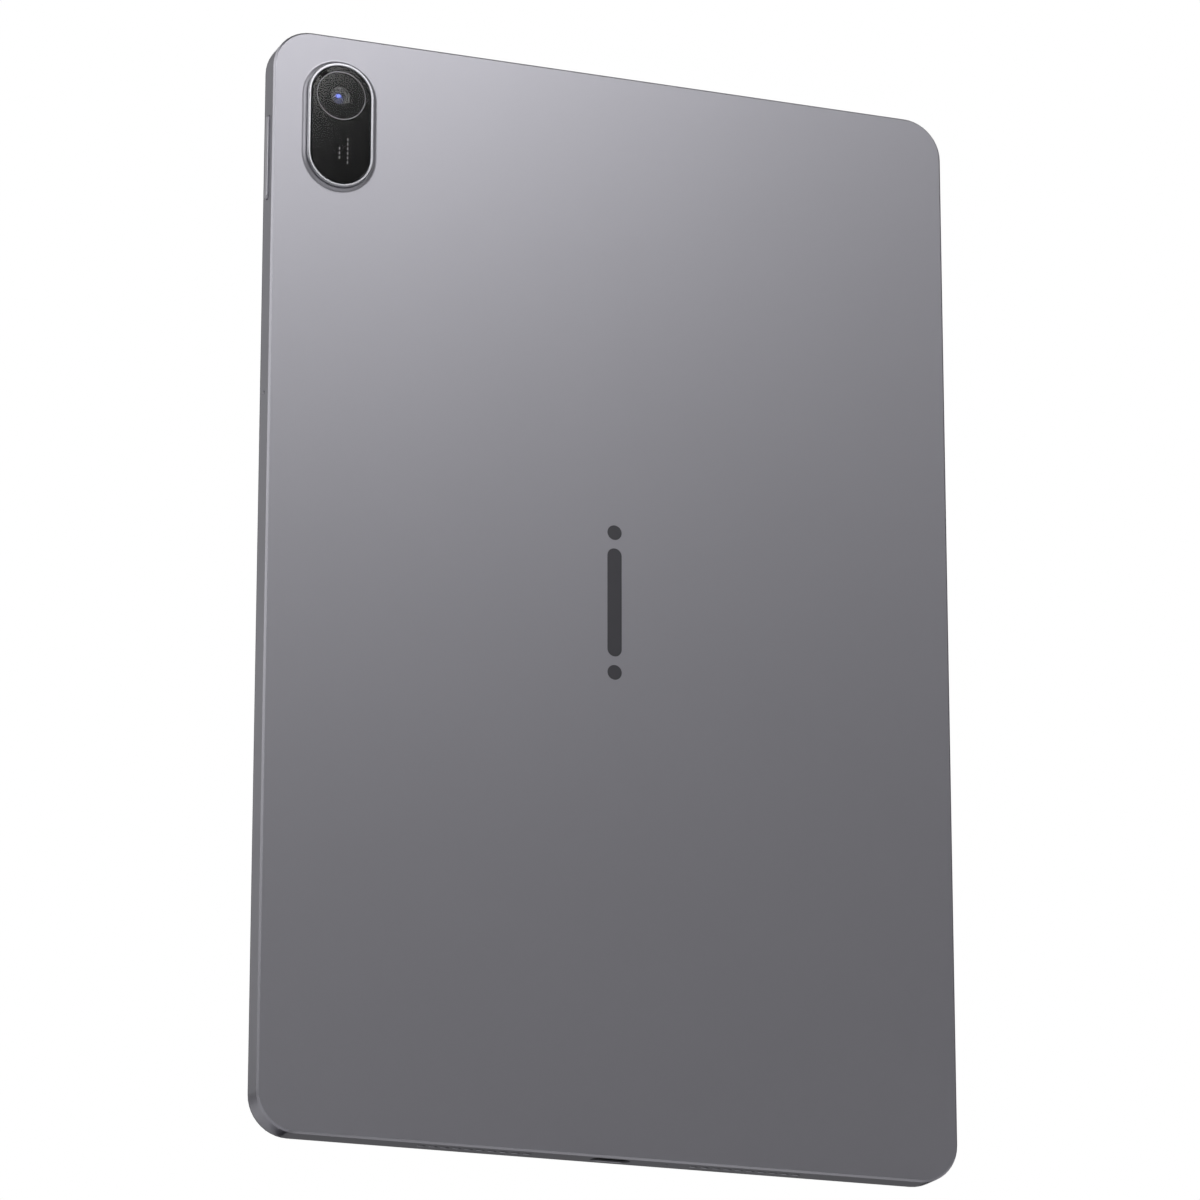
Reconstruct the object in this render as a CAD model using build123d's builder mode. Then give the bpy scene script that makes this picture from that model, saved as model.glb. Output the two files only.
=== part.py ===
from build123d import *
import os

# Slim tablet computer, upright on its short bottom edge.
# X runs to the right as seen from the display side, +Y points out of the back, +Z points up.
# The origin is under the middle of the bottom edge. All sizes are in millimetres.

os.makedirs("parts", exist_ok=True)

# ---------------------------------------------------------------- overall
body_width = 163.8
body_height = 252.3
body_thickness = 6.9
corner_radius = 9.0

# ---------------------------------------------------------------- shell and glass
side_wall = 1.6
back_wall = 0.9
back_chamfer = 0.45
glass_thickness = 0.7
glass_proud = 0.5
glass_reveal = 0.35
glass_edge_round = 0.2
frame_strip = 0.6
frame_width = 2.6
frame_inset = 0.05
frame_skirt_depth = 0.75
fit_clearance = 0.05
adhesive_thickness = 0.1
rim_chamfer = 0.1

# ---------------------------------------------------------------- display stack
bezel = 8.2
print_thickness = 0.05
print_overlap = 0.4
lamp_recess = 2.0
graphite_margin = 5.0
touch_margin = 2.0
touch_thickness = 0.2
lcd_margin = 1.5
lcd_thickness = 0.75
backlight_thickness = 0.8
tray_sheet = 0.2
graphite_thickness = 0.1
display_corner = 3.0

# ---------------------------------------------------------------- camera island
island_from_edge = 15.6
island_from_top = 21.7
pedestal_width = 17.4
pedestal_length = 31.2
pedestal_height = 0.45
pedestal_flank = 0.6
pedestal_root_round = 0.8
pedestal_top_round = 0.4
trim_width = 15.7
trim_length = 29.7
trim_proud = 1.3
trim_wall = 0.9
trim_ledge = 0.75
trim_seat_depth = 0.55
trim_edge_round = 0.3
trim_inner_bevel = 0.3
camera_glass_round = 0.1
camera_glass_thickness = 0.8
camera_glass_recess = 0.1
camera_mask_thickness = 0.1
lens_window = 4.4
lens_ring_diameter = 11.6
lens_ring_width = 0.22
lens_ring_depth = 0.15
lens_ring_proud = 0.03
lens_diameter = 3.2
lens_thickness = 0.8
lens_edge_share = 0.75
barrel_diameter = 6.6
camera_can = 8.6
camera_can_height = 2.1
camera_can_corner = 0.5
camera_can_chamfer = 0.3
camera_board_margin = 0.4
camera_board_corner = 0.4
camera_board_thickness = 0.3
gasket_thickness = 0.1

# ---------------------------------------------------------------- buttons
key_width = 1.7
key_slot_clearance = 0.1
key_edge_round = 0.25
flange_width = 2.6
flange_thickness = 0.6
flange_overhang = 0.8
flange_corner = 0.8
nub_diameter = 1.6
nub_height = 0.35
button_depth = 0.0

rocker_length = 19.9
rocker_from_top = 30.1
rocker_proud = 0.45
rocker_end_clearance = 0.13
rocker_wall_gap = 0.4
rocker_switch_spacing = 13.0

power_length = 10.0
power_from_edge = 19.5
power_proud = 0.4
power_wall_gap = 0.05

switch_length = 3.0
switch_width = 2.2
switch_height = 0.85
switch_floor = 0.2
switch_corner = 0.3
switch_strip_corner = 0.5
plunger_diameter = 1.2
plunger_bore_clearance = 0.05
plunger_height = 1.0
plunger_sink = 0.3
touch_gap = 0.05
flex_thickness = 0.15
bracket_sheet = 0.3
bracket_front = -1.2
rocker_bracket_margin = 3.0
power_bracket_margin = 2.0
rocker_bracket_foot = 1.5
power_bracket_foot = 0.8

# ---------------------------------------------------------------- holes in the edges
speaker_slots = 10
speaker_pitch = 2.71
speaker_first = 18.0
speaker_slot_length = 2.1
speaker_slot_width = 1.0
slot_row_depth = 0.6
mic_hole = 0.8
mic_height = 166.7
bottom_mic_from_middle = 13.0
mic_length = 3.0
mic_width = 2.0
mic_thickness = 1.0
bottom_mic_thickness = 0.25
mic_corner = 0.2

# ---------------------------------------------------------------- port
port_width = 8.34
port_height = 2.56
port_shell_wall = 0.3
port_shell_length = 5.9
port_recess = 0.35
port_tongue_width = 6.69
port_tongue_thickness = 0.7
port_tongue_setback = 0.8
port_base = 1.2

# ---------------------------------------------------------------- emblem
emblem_width = 3.4
emblem_length = 36.0
emblem_gap = 2.0
emblem_depth = 0.15
emblem_clearance = 0.02

# ---------------------------------------------------------------- inner pieces
cell_gap = 4.0
cell_side_margin = 6.0
cell_bottom = 40.0
cell_height = 138.0
cell_thickness = 2.7
cell_corner = 2.5
cell_terrace = 6.0
cell_terrace_thickness = 0.4
cell_edge_round = 0.6
cell_film_margin = 6.0
cell_film_corner = 2.0
battery_board_height = 5.0
battery_board_thickness = 0.6
battery_board_width = 60.0
battery_board_corner = 0.8
battery_chip_places = (-22.0, -14.0, 14.0, 22.0)
battery_chip_length = 4.0
battery_chip_width = 3.0
battery_chip_height = 0.7

main_bottom_from_top = 57.0
main_height = 30.0
main_side_margin = 7.5
main_thickness = 0.8
main_depth = 1.35
main_corner = 2.0
main_notch_margin = 1.0
main_notch_depth = 3.0
screw_edge = 4.0
inner_screw_edge = 50.0
boss_diameter = 3.6
screw_shank = 1.2
screw_hole_clearance = 0.05
screw_head = 2.4
screw_head_height = 0.4
screw_bite = 0.5
main_screw_reach = 1.0
screw_tip_gap = 0.1
board_hole = 1.6
shield_height = 1.0
shield_sheet = 0.15
shield_corner = 1.0
shield_edge_round = 0.3
large_shield = (40.0, 18.0, 35.0)
small_shield = (26.0, 16.0, -30.0)
connector_height = 0.45
connector_length = 6.0
connector_width = 2.4
connector_corner = 0.4
connector_edge = 2.2
link_offset = 9.0
display_connector_x = -56.0
processor_size = 14.0
memory_length = 13.0
memory_width = 11.5
chip_height = 0.9
processor_x = 22.0
processor_corner = 0.5
processor_carrier_margin = 0.5
processor_carrier_corner = 0.3
memory_x = 42.0
memory_corner = 0.4

sub_width = 30.0
sub_height = 15.0
sub_thickness = 0.5
sub_edge_gap = 0.3
sub_corner = 1.0
sub_screw_edge = 2.5
sub_part_height = 0.45
sub_socket_edge = 2.0
sub_chip_length = 3.0
sub_chip_width = 1.6
sub_chip_places = ((-9.0, 4.0), (9.0, 4.0), (9.0, 7.0))

speaker_width = 37.5
speaker_height = 22.0
speaker_thickness = 2.9
speaker_corner = 1.5
speaker_from_middle = 16.5
speaker_cone = 13.0
speaker_recess = 0.5
speaker_edge_chamfer = 0.4
mesh_thickness = 0.15
mesh_width = 1.6
mesh_margin = 0.5
mesh_corner = 0.4

ribbon_width = 3.0
display_flex_width = 20.0
display_flex_strip = 5.0
camera_flex_width = 5.0
battery_flex_width = 5.0
display_flex_bend = 0.5
camera_flex_bend = 0.3
battery_flex_bend = 0.6
battery_flex_run = 4.5
battery_flex_landing = 3.2
display_flex_start = 9.0
display_flex_run = 4.0
display_flex_landing = 1.8
camera_flex_run = 2.0
camera_flex_landing = 2.4
flex_overlap = 0.8
link_flex_shift = 2.0
antenna_length = 26.0
antenna_width = 5.0
antenna_thickness = 1.5
antenna_corner = 1.0
antenna_chamfer = 0.3
front_camera_size = 2.6
front_camera_depth = 3.0
front_camera_corner = 0.3
front_lens_diameter = 1.5
front_lens_depth = 0.4
sensor_window = 2.2
light_window = 1.2
light_sensor_width = 1.6
light_sensor_length = 2.2
light_sensor_depth = 0.7
light_sensor_corner = 0.2
light_sensor_eye = 0.8
light_sensor_eye_depth = 0.2
light_sensor_offset = 10.0

# ---------------------------------------------------------------- levels that follow
half_width = body_width / 2
middle_height = body_height / 2
y_back = body_thickness / 2
y_front = -body_thickness / 2
y_floor = y_back - back_wall
y_glass_back = y_front + glass_thickness
y_rim = y_front + glass_proud
y_shell_edge = y_rim + frame_strip
y_print_back = y_glass_back + print_thickness
y_ledge = y_print_back + adhesive_thickness
y_touch_back = y_print_back + touch_thickness
y_lcd_back = y_touch_back + lcd_thickness
y_light_back = y_lcd_back + backlight_thickness
y_tray_back = y_light_back + tray_sheet
y_graphite_back = y_tray_back + graphite_thickness

island_x = half_width - island_from_edge
island_z = body_height - island_from_top
glass_clearance = fit_clearance
camera_glass_width = trim_width - 2 * (trim_wall + glass_clearance)
camera_glass_length = trim_length - 2 * (trim_wall + glass_clearance)
trim_window_width = camera_glass_width - 2 * trim_ledge
trim_window_length = camera_glass_length - 2 * trim_ledge
y_trim_seat = y_back - trim_seat_depth
y_trim_top = y_back + trim_proud
y_camera_glass = y_trim_top - camera_glass_recess
y_camera_mask = y_camera_glass - camera_glass_thickness
y_trim_ledge = y_camera_mask - camera_mask_thickness
lens_x = island_x
lens_z = island_z + (trim_length - trim_width) / 2

rocker_z = body_height - rocker_from_top
power_x = half_width - power_from_edge
x_side_inner = half_width - side_wall
z_top_inner = body_height - side_wall
main_bottom = body_height - main_bottom_from_top
main_width = body_width - 2 * main_side_margin
y_main_front = main_depth - main_thickness
display_width = body_width - 2 * bezel
display_height = body_height - 2 * bezel
cell_width = half_width - side_wall - cell_side_margin - cell_gap / 2
y_cell_back = y_floor - adhesive_thickness
y_sub_front = y_floor - sub_thickness
port_depth = y_sub_front - port_height / 2 - port_shell_wall
sub_bottom = side_wall + sub_edge_gap
sensor_x = half_width - frame_width - front_camera_size / 2 - 3 * fit_clearance
front_camera_place = (sensor_x, middle_height)
light_sensor_place = (sensor_x, middle_height + light_sensor_offset)


# ---------------------------------------------------------------- helpers
def depth_plane(y):
    """Plane parallel to the display at depth y. Local x is X, local y is Z, and it faces -Y."""
    return Plane.XZ.offset(-y)


def side_plane(x):
    """Plane parallel to the right side at x. Local x is Y, local y is Z, and it faces +X."""
    return Plane.YZ.offset(x)


def level_plane(z):
    """Horizontal plane at height z, facing up."""
    return Plane.XY.offset(z)


def save(piece, label):
    """Label a finished piece and write it to its own STEP file."""
    piece.part.label = label
    export_step(piece.part, f"parts/{label}.step")


def rim_edges(face):
    """Edges of every hole that opens in a face."""
    return [edge for wire in face.inner_wires() for edge in wire.edges()]


def slab(width, height, near, far, places, radius=0.0):
    """Flat plates between two depths, one at each (x, z) place, with rounded corners if radius is set."""
    with BuildPart() as piece:
        with BuildSketch(depth_plane(far)):
            with Locations(*places):
                if radius > 0:
                    RectangleRounded(width, height, radius)
                else:
                    Rectangle(width, height)
        extrude(amount=far - near)
    return piece


def stadium(width, length, near, far):
    """Upright stadium on the camera island's centre, between two depths."""
    with BuildPart() as piece:
        with BuildSketch(depth_plane(far)):
            with Locations((island_x, island_z)):
                SlotOverall(length, width, rotation=90)
        extrude(amount=far - near)
    return piece


def ribbon(points, radius, width, middle):
    """Flat cable of the flex thickness along a path of (y, z) points, centred at X = middle."""
    with BuildPart() as piece:
        with BuildSketch(side_plane(middle)):
            with BuildLine():
                FilletPolyline(*points, radius=radius)
            trace(line_width=flex_thickness)
        extrude(amount=width / 2, both=True)
    return piece


def slot_row_places():
    """X positions of every speaker slot on one short edge."""
    one_side = [speaker_first + speaker_pitch * (index + 0.5) for index in range(speaker_slots)]
    return [side * x for side in (-1, 1) for x in one_side]


main_screws = [
    (side * (main_width / 2 - inset), main_bottom + up)
    for side in (-1, 1)
    for inset in (screw_edge, inner_screw_edge)
    for up in (screw_edge, main_height - screw_edge)
]
sub_screws = [
    (side * (sub_width / 2 - sub_screw_edge), sub_bottom + sub_height - sub_screw_edge) for side in (-1, 1)
]

# ================================================================ rear housing
with BuildPart() as rear_housing:
    with BuildSketch(depth_plane(y_back)):
        with Locations((0, middle_height)):
            RectangleRounded(body_width, body_height, corner_radius)
    extrude(amount=y_back - y_shell_edge)
    chamfer(rear_housing.faces().sort_by(Axis.Y)[-1].edges(), back_chamfer)

    # inner tray
    with BuildSketch(depth_plane(y_floor)):
        with Locations((0, middle_height)):
            RectangleRounded(
                body_width - 2 * side_wall, body_height - 2 * side_wall, corner_radius - side_wall
            )
    extrude(amount=y_floor - y_shell_edge, mode=Mode.SUBTRACT)

    # raised foot of the camera island, wider at its root
    with BuildSketch(depth_plane(y_back)):
        with Locations((island_x, island_z)):
            SlotOverall(pedestal_length, pedestal_width, rotation=90)
    with BuildSketch(depth_plane(y_back + pedestal_height)):
        with Locations((island_x, island_z)):
            SlotOverall(
                pedestal_length - 2 * pedestal_flank, pedestal_width - 2 * pedestal_flank, rotation=90
            )
    loft()
    fillet(rear_housing.faces().sort_by(Axis.Y)[-1].edges(), pedestal_top_round)
    back_face = rear_housing.faces().filter_by(Axis.Y).sort_by(SortBy.AREA)[-1]
    fillet(rim_edges(back_face), pedestal_root_round)

    # pocket for the camera trim ring, and the window under it
    with BuildSketch(depth_plane(y_back + pedestal_height)):
        with Locations((island_x, island_z)):
            SlotOverall(trim_length + 2 * fit_clearance, trim_width + 2 * fit_clearance, rotation=90)
    extrude(amount=pedestal_height + trim_seat_depth, mode=Mode.SUBTRACT)
    with BuildSketch(depth_plane(y_trim_seat)):
        with Locations((island_x, island_z)):
            SlotOverall(trim_window_length, trim_window_width, rotation=90)
    extrude(amount=y_trim_seat - y_floor, mode=Mode.SUBTRACT)

    # shallow pockets for the inlaid emblem
    emblem_bar = emblem_length - 2 * (emblem_width + emblem_gap)
    emblem_end = (emblem_length - emblem_width) / 2
    with BuildSketch(depth_plane(y_back)):
        with Locations((0, middle_height)):
            SlotOverall(emblem_bar + 2 * emblem_clearance, emblem_width + 2 * emblem_clearance, rotation=90)
        with Locations((0, middle_height - emblem_end), (0, middle_height + emblem_end)):
            Circle(emblem_width / 2 + emblem_clearance)
    extrude(amount=emblem_depth, mode=Mode.SUBTRACT)

    # slot for the volume rocker, and the side microphone hole
    with BuildSketch(side_plane(half_width)):
        with Locations((button_depth, rocker_z)):
            SlotOverall(
                rocker_length + 2 * rocker_end_clearance, key_width + 2 * key_slot_clearance, rotation=90
            )
        with Locations((button_depth, mic_height)):
            Circle(mic_hole / 2)
    extrude(amount=-side_wall, mode=Mode.SUBTRACT)

    # slot for the power button, and the upper speaker slots
    with BuildSketch(level_plane(body_height)):
        with Locations((power_x, button_depth)):
            SlotOverall(power_length + 2 * key_slot_clearance, key_width + 2 * key_slot_clearance)
        with Locations(*[(x, slot_row_depth) for x in slot_row_places()]):
            SlotOverall(speaker_slot_length, speaker_slot_width)
    extrude(amount=-side_wall, mode=Mode.SUBTRACT)

    # port mouth, lower speaker slots and lower microphone hole
    with BuildSketch(level_plane(0)):
        with Locations((0, port_depth)):
            SlotOverall(
                port_width + 2 * (port_shell_wall + fit_clearance),
                port_height + 2 * (port_shell_wall + fit_clearance),
            )
        with Locations(*[(x, slot_row_depth) for x in slot_row_places()]):
            SlotOverall(speaker_slot_length, speaker_slot_width)
        with Locations((-bottom_mic_from_middle, slot_row_depth)):
            Circle(mic_hole / 2)
    extrude(amount=side_wall, mode=Mode.SUBTRACT)

    # softened rims on every opening in the side and the two short edges
    side_face = rear_housing.faces().filter_by(Axis.X).sort_by(Axis.X)[-1]
    chamfer(rim_edges(side_face), rim_chamfer)
    top_face = rear_housing.faces().filter_by(Axis.Z).sort_by(Axis.Z)[-1]
    chamfer(rim_edges(top_face), rim_chamfer)
    bottom_face = rear_housing.faces().filter_by(Axis.Z).sort_by(Axis.Z)[0]
    chamfer(rim_edges(bottom_face), rim_chamfer)

    # screw bosses for the main board, and blind screw holes
    with BuildSketch(depth_plane(y_floor)):
        with Locations(*main_screws):
            Circle(boss_diameter / 2)
    extrude(amount=y_floor - main_depth)
    with BuildSketch(depth_plane(y_floor + screw_bite)):
        with Locations(*main_screws):
            Circle(screw_shank / 2 + screw_hole_clearance)
    extrude(amount=y_floor + screw_bite - main_depth, mode=Mode.SUBTRACT)
    with BuildSketch(depth_plane(y_floor + screw_bite)):
        with Locations(*sub_screws):
            Circle(screw_shank / 2 + screw_hole_clearance)
    extrude(amount=screw_bite, mode=Mode.SUBTRACT)
save(rear_housing, "rear_housing")

# ================================================================ emblem: a bar between two dots
with BuildPart() as back_emblem:
    with BuildSketch(depth_plane(y_back)):
        with Locations((0, middle_height)):
            SlotOverall(emblem_bar, emblem_width, rotation=90)
        with Locations((0, middle_height - emblem_end), (0, middle_height + emblem_end)):
            Circle(emblem_width / 2)
    extrude(amount=emblem_depth)
save(back_emblem, "back_emblem")

# ================================================================ front frame
with BuildPart() as front_frame:
    with BuildSketch(depth_plane(y_shell_edge)):
        with Locations((0, middle_height)):
            RectangleRounded(
                body_width - 2 * frame_inset, body_height - 2 * frame_inset, corner_radius - frame_inset
            )
    extrude(amount=frame_strip)
    # skirt that drops inside the shell
    skirt_inset = side_wall + fit_clearance
    with BuildSketch(depth_plane(y_shell_edge + frame_skirt_depth)):
        with Locations((0, middle_height)):
            RectangleRounded(
                body_width - 2 * skirt_inset, body_height - 2 * skirt_inset, corner_radius - skirt_inset
            )
    extrude(amount=frame_skirt_depth)
    # pocket for the glass
    pocket_inset = glass_reveal - fit_clearance
    with BuildSketch(depth_plane(y_ledge)):
        with Locations((0, middle_height)):
            RectangleRounded(
                body_width - 2 * pocket_inset, body_height - 2 * pocket_inset, corner_radius - pocket_inset
            )
    extrude(amount=y_ledge - y_rim, mode=Mode.SUBTRACT)
    # opening for the display
    with BuildSketch(depth_plane(y_shell_edge + frame_skirt_depth)):
        with Locations((0, middle_height)):
            RectangleRounded(
                body_width - 2 * frame_width, body_height - 2 * frame_width, corner_radius - frame_width
            )
    extrude(amount=frame_skirt_depth + frame_strip, mode=Mode.SUBTRACT)
save(front_frame, "front_frame")

# ================================================================ cover glass and its adhesive
with BuildPart() as cover_glass:
    with BuildSketch(depth_plane(y_glass_back)):
        with Locations((0, middle_height)):
            RectangleRounded(
                body_width - 2 * glass_reveal, body_height - 2 * glass_reveal, corner_radius - glass_reveal
            )
    extrude(amount=glass_thickness)
    fillet(cover_glass.faces().sort_by(Axis.Y)[0].edges(), glass_edge_round)
save(cover_glass, "cover_glass")

with BuildPart() as glass_print:
    with BuildSketch(depth_plane(y_print_back)):
        with Locations((0, middle_height)):
            RectangleRounded(
                body_width - 2 * glass_reveal, body_height - 2 * glass_reveal, corner_radius - glass_reveal
            )
            RectangleRounded(
                display_width + 2 * print_overlap,
                display_height + 2 * print_overlap,
                display_corner,
                mode=Mode.SUBTRACT,
            )
        with Locations(front_camera_place):
            Circle(sensor_window / 2, mode=Mode.SUBTRACT)
        with Locations(light_sensor_place):
            Circle(light_window / 2, mode=Mode.SUBTRACT)
    extrude(amount=print_thickness)
save(glass_print, "glass_print")

with BuildPart() as display_adhesive:
    with BuildSketch(depth_plane(y_ledge)):
        with Locations((0, middle_height)):
            RectangleRounded(
                body_width - 2 * glass_reveal, body_height - 2 * glass_reveal, corner_radius - glass_reveal
            )
            RectangleRounded(
                body_width - 2 * frame_width,
                body_height - 2 * frame_width,
                corner_radius - frame_width,
                mode=Mode.SUBTRACT,
            )
    extrude(amount=adhesive_thickness)
save(display_adhesive, "display_adhesive")

# ================================================================ display stack
panel_middle = [(0, middle_height)]
touch_width = display_width + 2 * touch_margin
touch_height = display_height + 2 * touch_margin
save(
    slab(touch_width, touch_height, y_print_back, y_touch_back, panel_middle, display_corner),
    "touch_sensor",
)

lcd_width = display_width + 2 * lcd_margin
lcd_height = display_height + 2 * lcd_margin
with BuildPart() as lcd_panel:
    with BuildSketch(depth_plane(y_lcd_back)):
        with Locations((0, middle_height)):
            RectangleRounded(lcd_width, lcd_height, display_corner)
    extrude(amount=lcd_thickness)
    # step along the lower edge, where the driver ledge is thinner
    with BuildSketch(depth_plane(y_lcd_back)):
        with Locations((0, middle_height - lcd_height / 2)):
            Rectangle(lcd_width, 2 * lcd_margin)
    extrude(amount=lcd_thickness / 2, mode=Mode.SUBTRACT)
save(lcd_panel, "lcd_panel")

light_width = lcd_width - 2 * (tray_sheet + fit_clearance)
light_height = lcd_height - 2 * (lcd_margin + tray_sheet + fit_clearance)
with BuildPart() as backlight_unit:
    with BuildSketch(depth_plane(y_light_back)):
        with Locations((0, middle_height)):
            RectangleRounded(light_width, light_height, display_corner)
    extrude(amount=backlight_thickness)
    # recess behind the light guide for the row of lamps
    with BuildSketch(depth_plane(y_light_back)):
        with Locations((0, middle_height - light_height / 2 + display_corner + lamp_recess)):
            Rectangle(light_width - 4 * display_corner, lamp_recess)
    extrude(amount=backlight_thickness / 2, mode=Mode.SUBTRACT)
save(backlight_unit, "backlight_unit")

with BuildPart() as display_tray:
    with BuildSketch(depth_plane(y_tray_back)):
        with Locations((0, middle_height)):
            RectangleRounded(
                light_width + 2 * (tray_sheet + fit_clearance),
                light_height + 2 * (tray_sheet + fit_clearance),
                display_corner + tray_sheet,
            )
    extrude(amount=tray_sheet + backlight_thickness)
    with BuildSketch(depth_plane(y_light_back)):
        with Locations((0, middle_height)):
            RectangleRounded(
                light_width + 2 * fit_clearance, light_height + 2 * fit_clearance, display_corner
            )
    extrude(amount=backlight_thickness, mode=Mode.SUBTRACT)
save(display_tray, "display_tray")

save(
    slab(
        light_width - 2 * graphite_margin, light_height - 2 * graphite_margin,
        y_tray_back, y_graphite_back, panel_middle, display_corner,
    ),
    "graphite_sheet",
)

# ================================================================ camera island
with BuildPart() as camera_trim_ring:
    add(stadium(trim_width, trim_length, y_trim_seat, y_trim_top).part)
    add(stadium(camera_glass_width + 2 * glass_clearance, camera_glass_length + 2 * glass_clearance,
                y_trim_ledge, y_trim_top).part, mode=Mode.SUBTRACT)
    add(stadium(trim_window_width, trim_window_length, y_trim_seat, y_trim_ledge).part, mode=Mode.SUBTRACT)
    fillet(camera_trim_ring.faces().sort_by(Axis.Y)[-1].outer_wire().edges(), trim_edge_round)
    chamfer(rim_edges(camera_trim_ring.faces().sort_by(Axis.Y)[-1]), trim_inner_bevel)
save(camera_trim_ring, "camera_trim_ring")

with BuildPart() as camera_glass:
    add(stadium(camera_glass_width, camera_glass_length, y_camera_mask, y_camera_glass).part)
    fillet(camera_glass.faces().sort_by(Axis.Y)[-1].edges(), camera_glass_round)
    with BuildSketch(depth_plane(y_camera_glass)):
        with Locations((lens_x, lens_z)):
            Circle(lens_ring_diameter / 2)
            Circle(lens_ring_diameter / 2 - lens_ring_width, mode=Mode.SUBTRACT)
    extrude(amount=lens_ring_depth, mode=Mode.SUBTRACT)
save(camera_glass, "camera_glass")

with BuildPart() as camera_lens_ring:
    with BuildSketch(depth_plane(y_camera_glass + lens_ring_proud)):
        with Locations((lens_x, lens_z)):
            Circle(lens_ring_diameter / 2)
            Circle(lens_ring_diameter / 2 - lens_ring_width, mode=Mode.SUBTRACT)
    extrude(amount=lens_ring_depth + lens_ring_proud)
save(camera_lens_ring, "camera_lens_ring")

with BuildPart() as camera_mask:
    add(stadium(camera_glass_width, camera_glass_length, y_trim_ledge, y_camera_mask).part)
    with BuildSketch(depth_plane(y_camera_mask)):
        with Locations((lens_x, lens_z)):
            Circle(lens_window / 2)
    extrude(amount=camera_mask_thickness, mode=Mode.SUBTRACT)
save(camera_mask, "camera_mask")

y_barrel_top = y_trim_ledge - gasket_thickness
with BuildPart() as camera_gasket:
    with BuildSketch(depth_plane(y_trim_ledge)):
        with Locations((lens_x, lens_z)):
            Circle(barrel_diameter / 2)
            Circle(lens_window / 2, mode=Mode.SUBTRACT)
    extrude(amount=gasket_thickness)
save(camera_gasket, "camera_gasket")

y_can_front = y_graphite_back + flex_thickness + fit_clearance + camera_board_thickness
y_can_back = y_can_front + camera_can_height
y_lens_seat = y_barrel_top - 2 * lens_thickness
with BuildPart() as camera_barrel:
    with BuildSketch(depth_plane(y_barrel_top)):
        with Locations((lens_x, lens_z)):
            Circle(barrel_diameter / 2)
    extrude(amount=y_barrel_top - y_can_back)
    # stepped bore: a wide mouth, then the seat of the front lens
    with BuildSketch(depth_plane(y_barrel_top)):
        with Locations((lens_x, lens_z)):
            Circle(lens_window / 2)
    extrude(amount=lens_thickness, mode=Mode.SUBTRACT)
    with BuildSketch(depth_plane(y_barrel_top)):
        with Locations((lens_x, lens_z)):
            Circle(lens_diameter / 2)
    extrude(amount=y_barrel_top - y_lens_seat, mode=Mode.SUBTRACT)
save(camera_barrel, "camera_barrel")

with BuildPart() as camera_lens:
    with BuildSketch(depth_plane(y_lens_seat + lens_thickness)):
        with Locations((lens_x, lens_z)):
            Circle(lens_diameter / 2)
    extrude(amount=lens_thickness)
    fillet(camera_lens.faces().sort_by(Axis.Y)[-1].edges(), lens_thickness * lens_edge_share)
save(camera_lens, "camera_lens")

with BuildPart() as camera_module:
    with BuildSketch(depth_plane(y_can_back)):
        with Locations((lens_x, lens_z)):
            RectangleRounded(camera_can, camera_can, camera_can_corner)
    extrude(amount=camera_can_height)
    chamfer(camera_module.faces().sort_by(Axis.Y)[-1].edges(), camera_can_chamfer)
    with BuildSketch(depth_plane(y_can_front)):
        with Locations((lens_x, lens_z)):
            RectangleRounded(
                camera_can + 2 * camera_board_margin, camera_can + 2 * camera_board_margin, camera_board_corner
            )
    extrude(amount=camera_board_thickness)
save(camera_module, "camera_module")


# ================================================================ push switches
def switch_body(plane, places, rotation):
    """Switch housings standing on a plane, each with a blind bore for its plunger."""
    with BuildPart() as piece:
        with BuildSketch(plane):
            with Locations(*places):
                RectangleRounded(switch_length, switch_width, switch_corner, rotation=rotation)
        extrude(amount=switch_height)
        with BuildSketch(plane.offset(switch_height)):
            with Locations(*places):
                Circle(plunger_diameter / 2 + plunger_bore_clearance)
        extrude(amount=switch_floor - switch_height, mode=Mode.SUBTRACT)
    return piece


def plunger(plane, place):
    """Round plunger whose root is sunk into the switch bore and whose tip is domed."""
    with BuildPart() as piece:
        with BuildSketch(plane.offset(switch_height - plunger_sink)):
            with Locations(place):
                Circle(plunger_diameter / 2)
        extrude(amount=plunger_height)
        tip = piece.faces().sort_by(Axis(plane.origin, plane.z_dir))[-1]
        fillet(tip.edges(), plunger_diameter / 8)
    return piece


# ================================================================ volume rocker
x_flange_out = x_side_inner - rocker_wall_gap
x_flange_in = x_flange_out - flange_thickness
x_nub = x_flange_in - nub_height
rocker_presses = [(button_depth, rocker_z + side * rocker_switch_spacing / 2) for side in (-1, 1)]
with BuildPart() as volume_rocker:
    with BuildSketch(side_plane(x_flange_in)):
        with Locations((button_depth, rocker_z)):
            SlotOverall(rocker_length, key_width, rotation=90)
    extrude(amount=half_width + rocker_proud - x_flange_in)
    fillet(volume_rocker.faces().sort_by(Axis.X)[-1].edges(), key_edge_round)
    with BuildSketch(side_plane(x_flange_in)):
        with Locations((button_depth, rocker_z)):
            RectangleRounded(flange_width, rocker_length + 2 * flange_overhang, flange_corner)
    extrude(amount=flange_thickness)
    with BuildSketch(side_plane(x_flange_in)):
        with Locations(*rocker_presses):
            Circle(nub_diameter / 2)
    extrude(amount=-nub_height)
save(volume_rocker, "volume_rocker")

x_switch = x_nub - touch_gap - plunger_height + plunger_sink - switch_height
volume_switch_plane = side_plane(x_switch)
save(switch_body(volume_switch_plane, rocker_presses, 90), "volume_switches")
save(plunger(volume_switch_plane, rocker_presses[0]), "volume_plunger_lower")
save(plunger(volume_switch_plane, rocker_presses[1]), "volume_plunger_upper")

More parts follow.
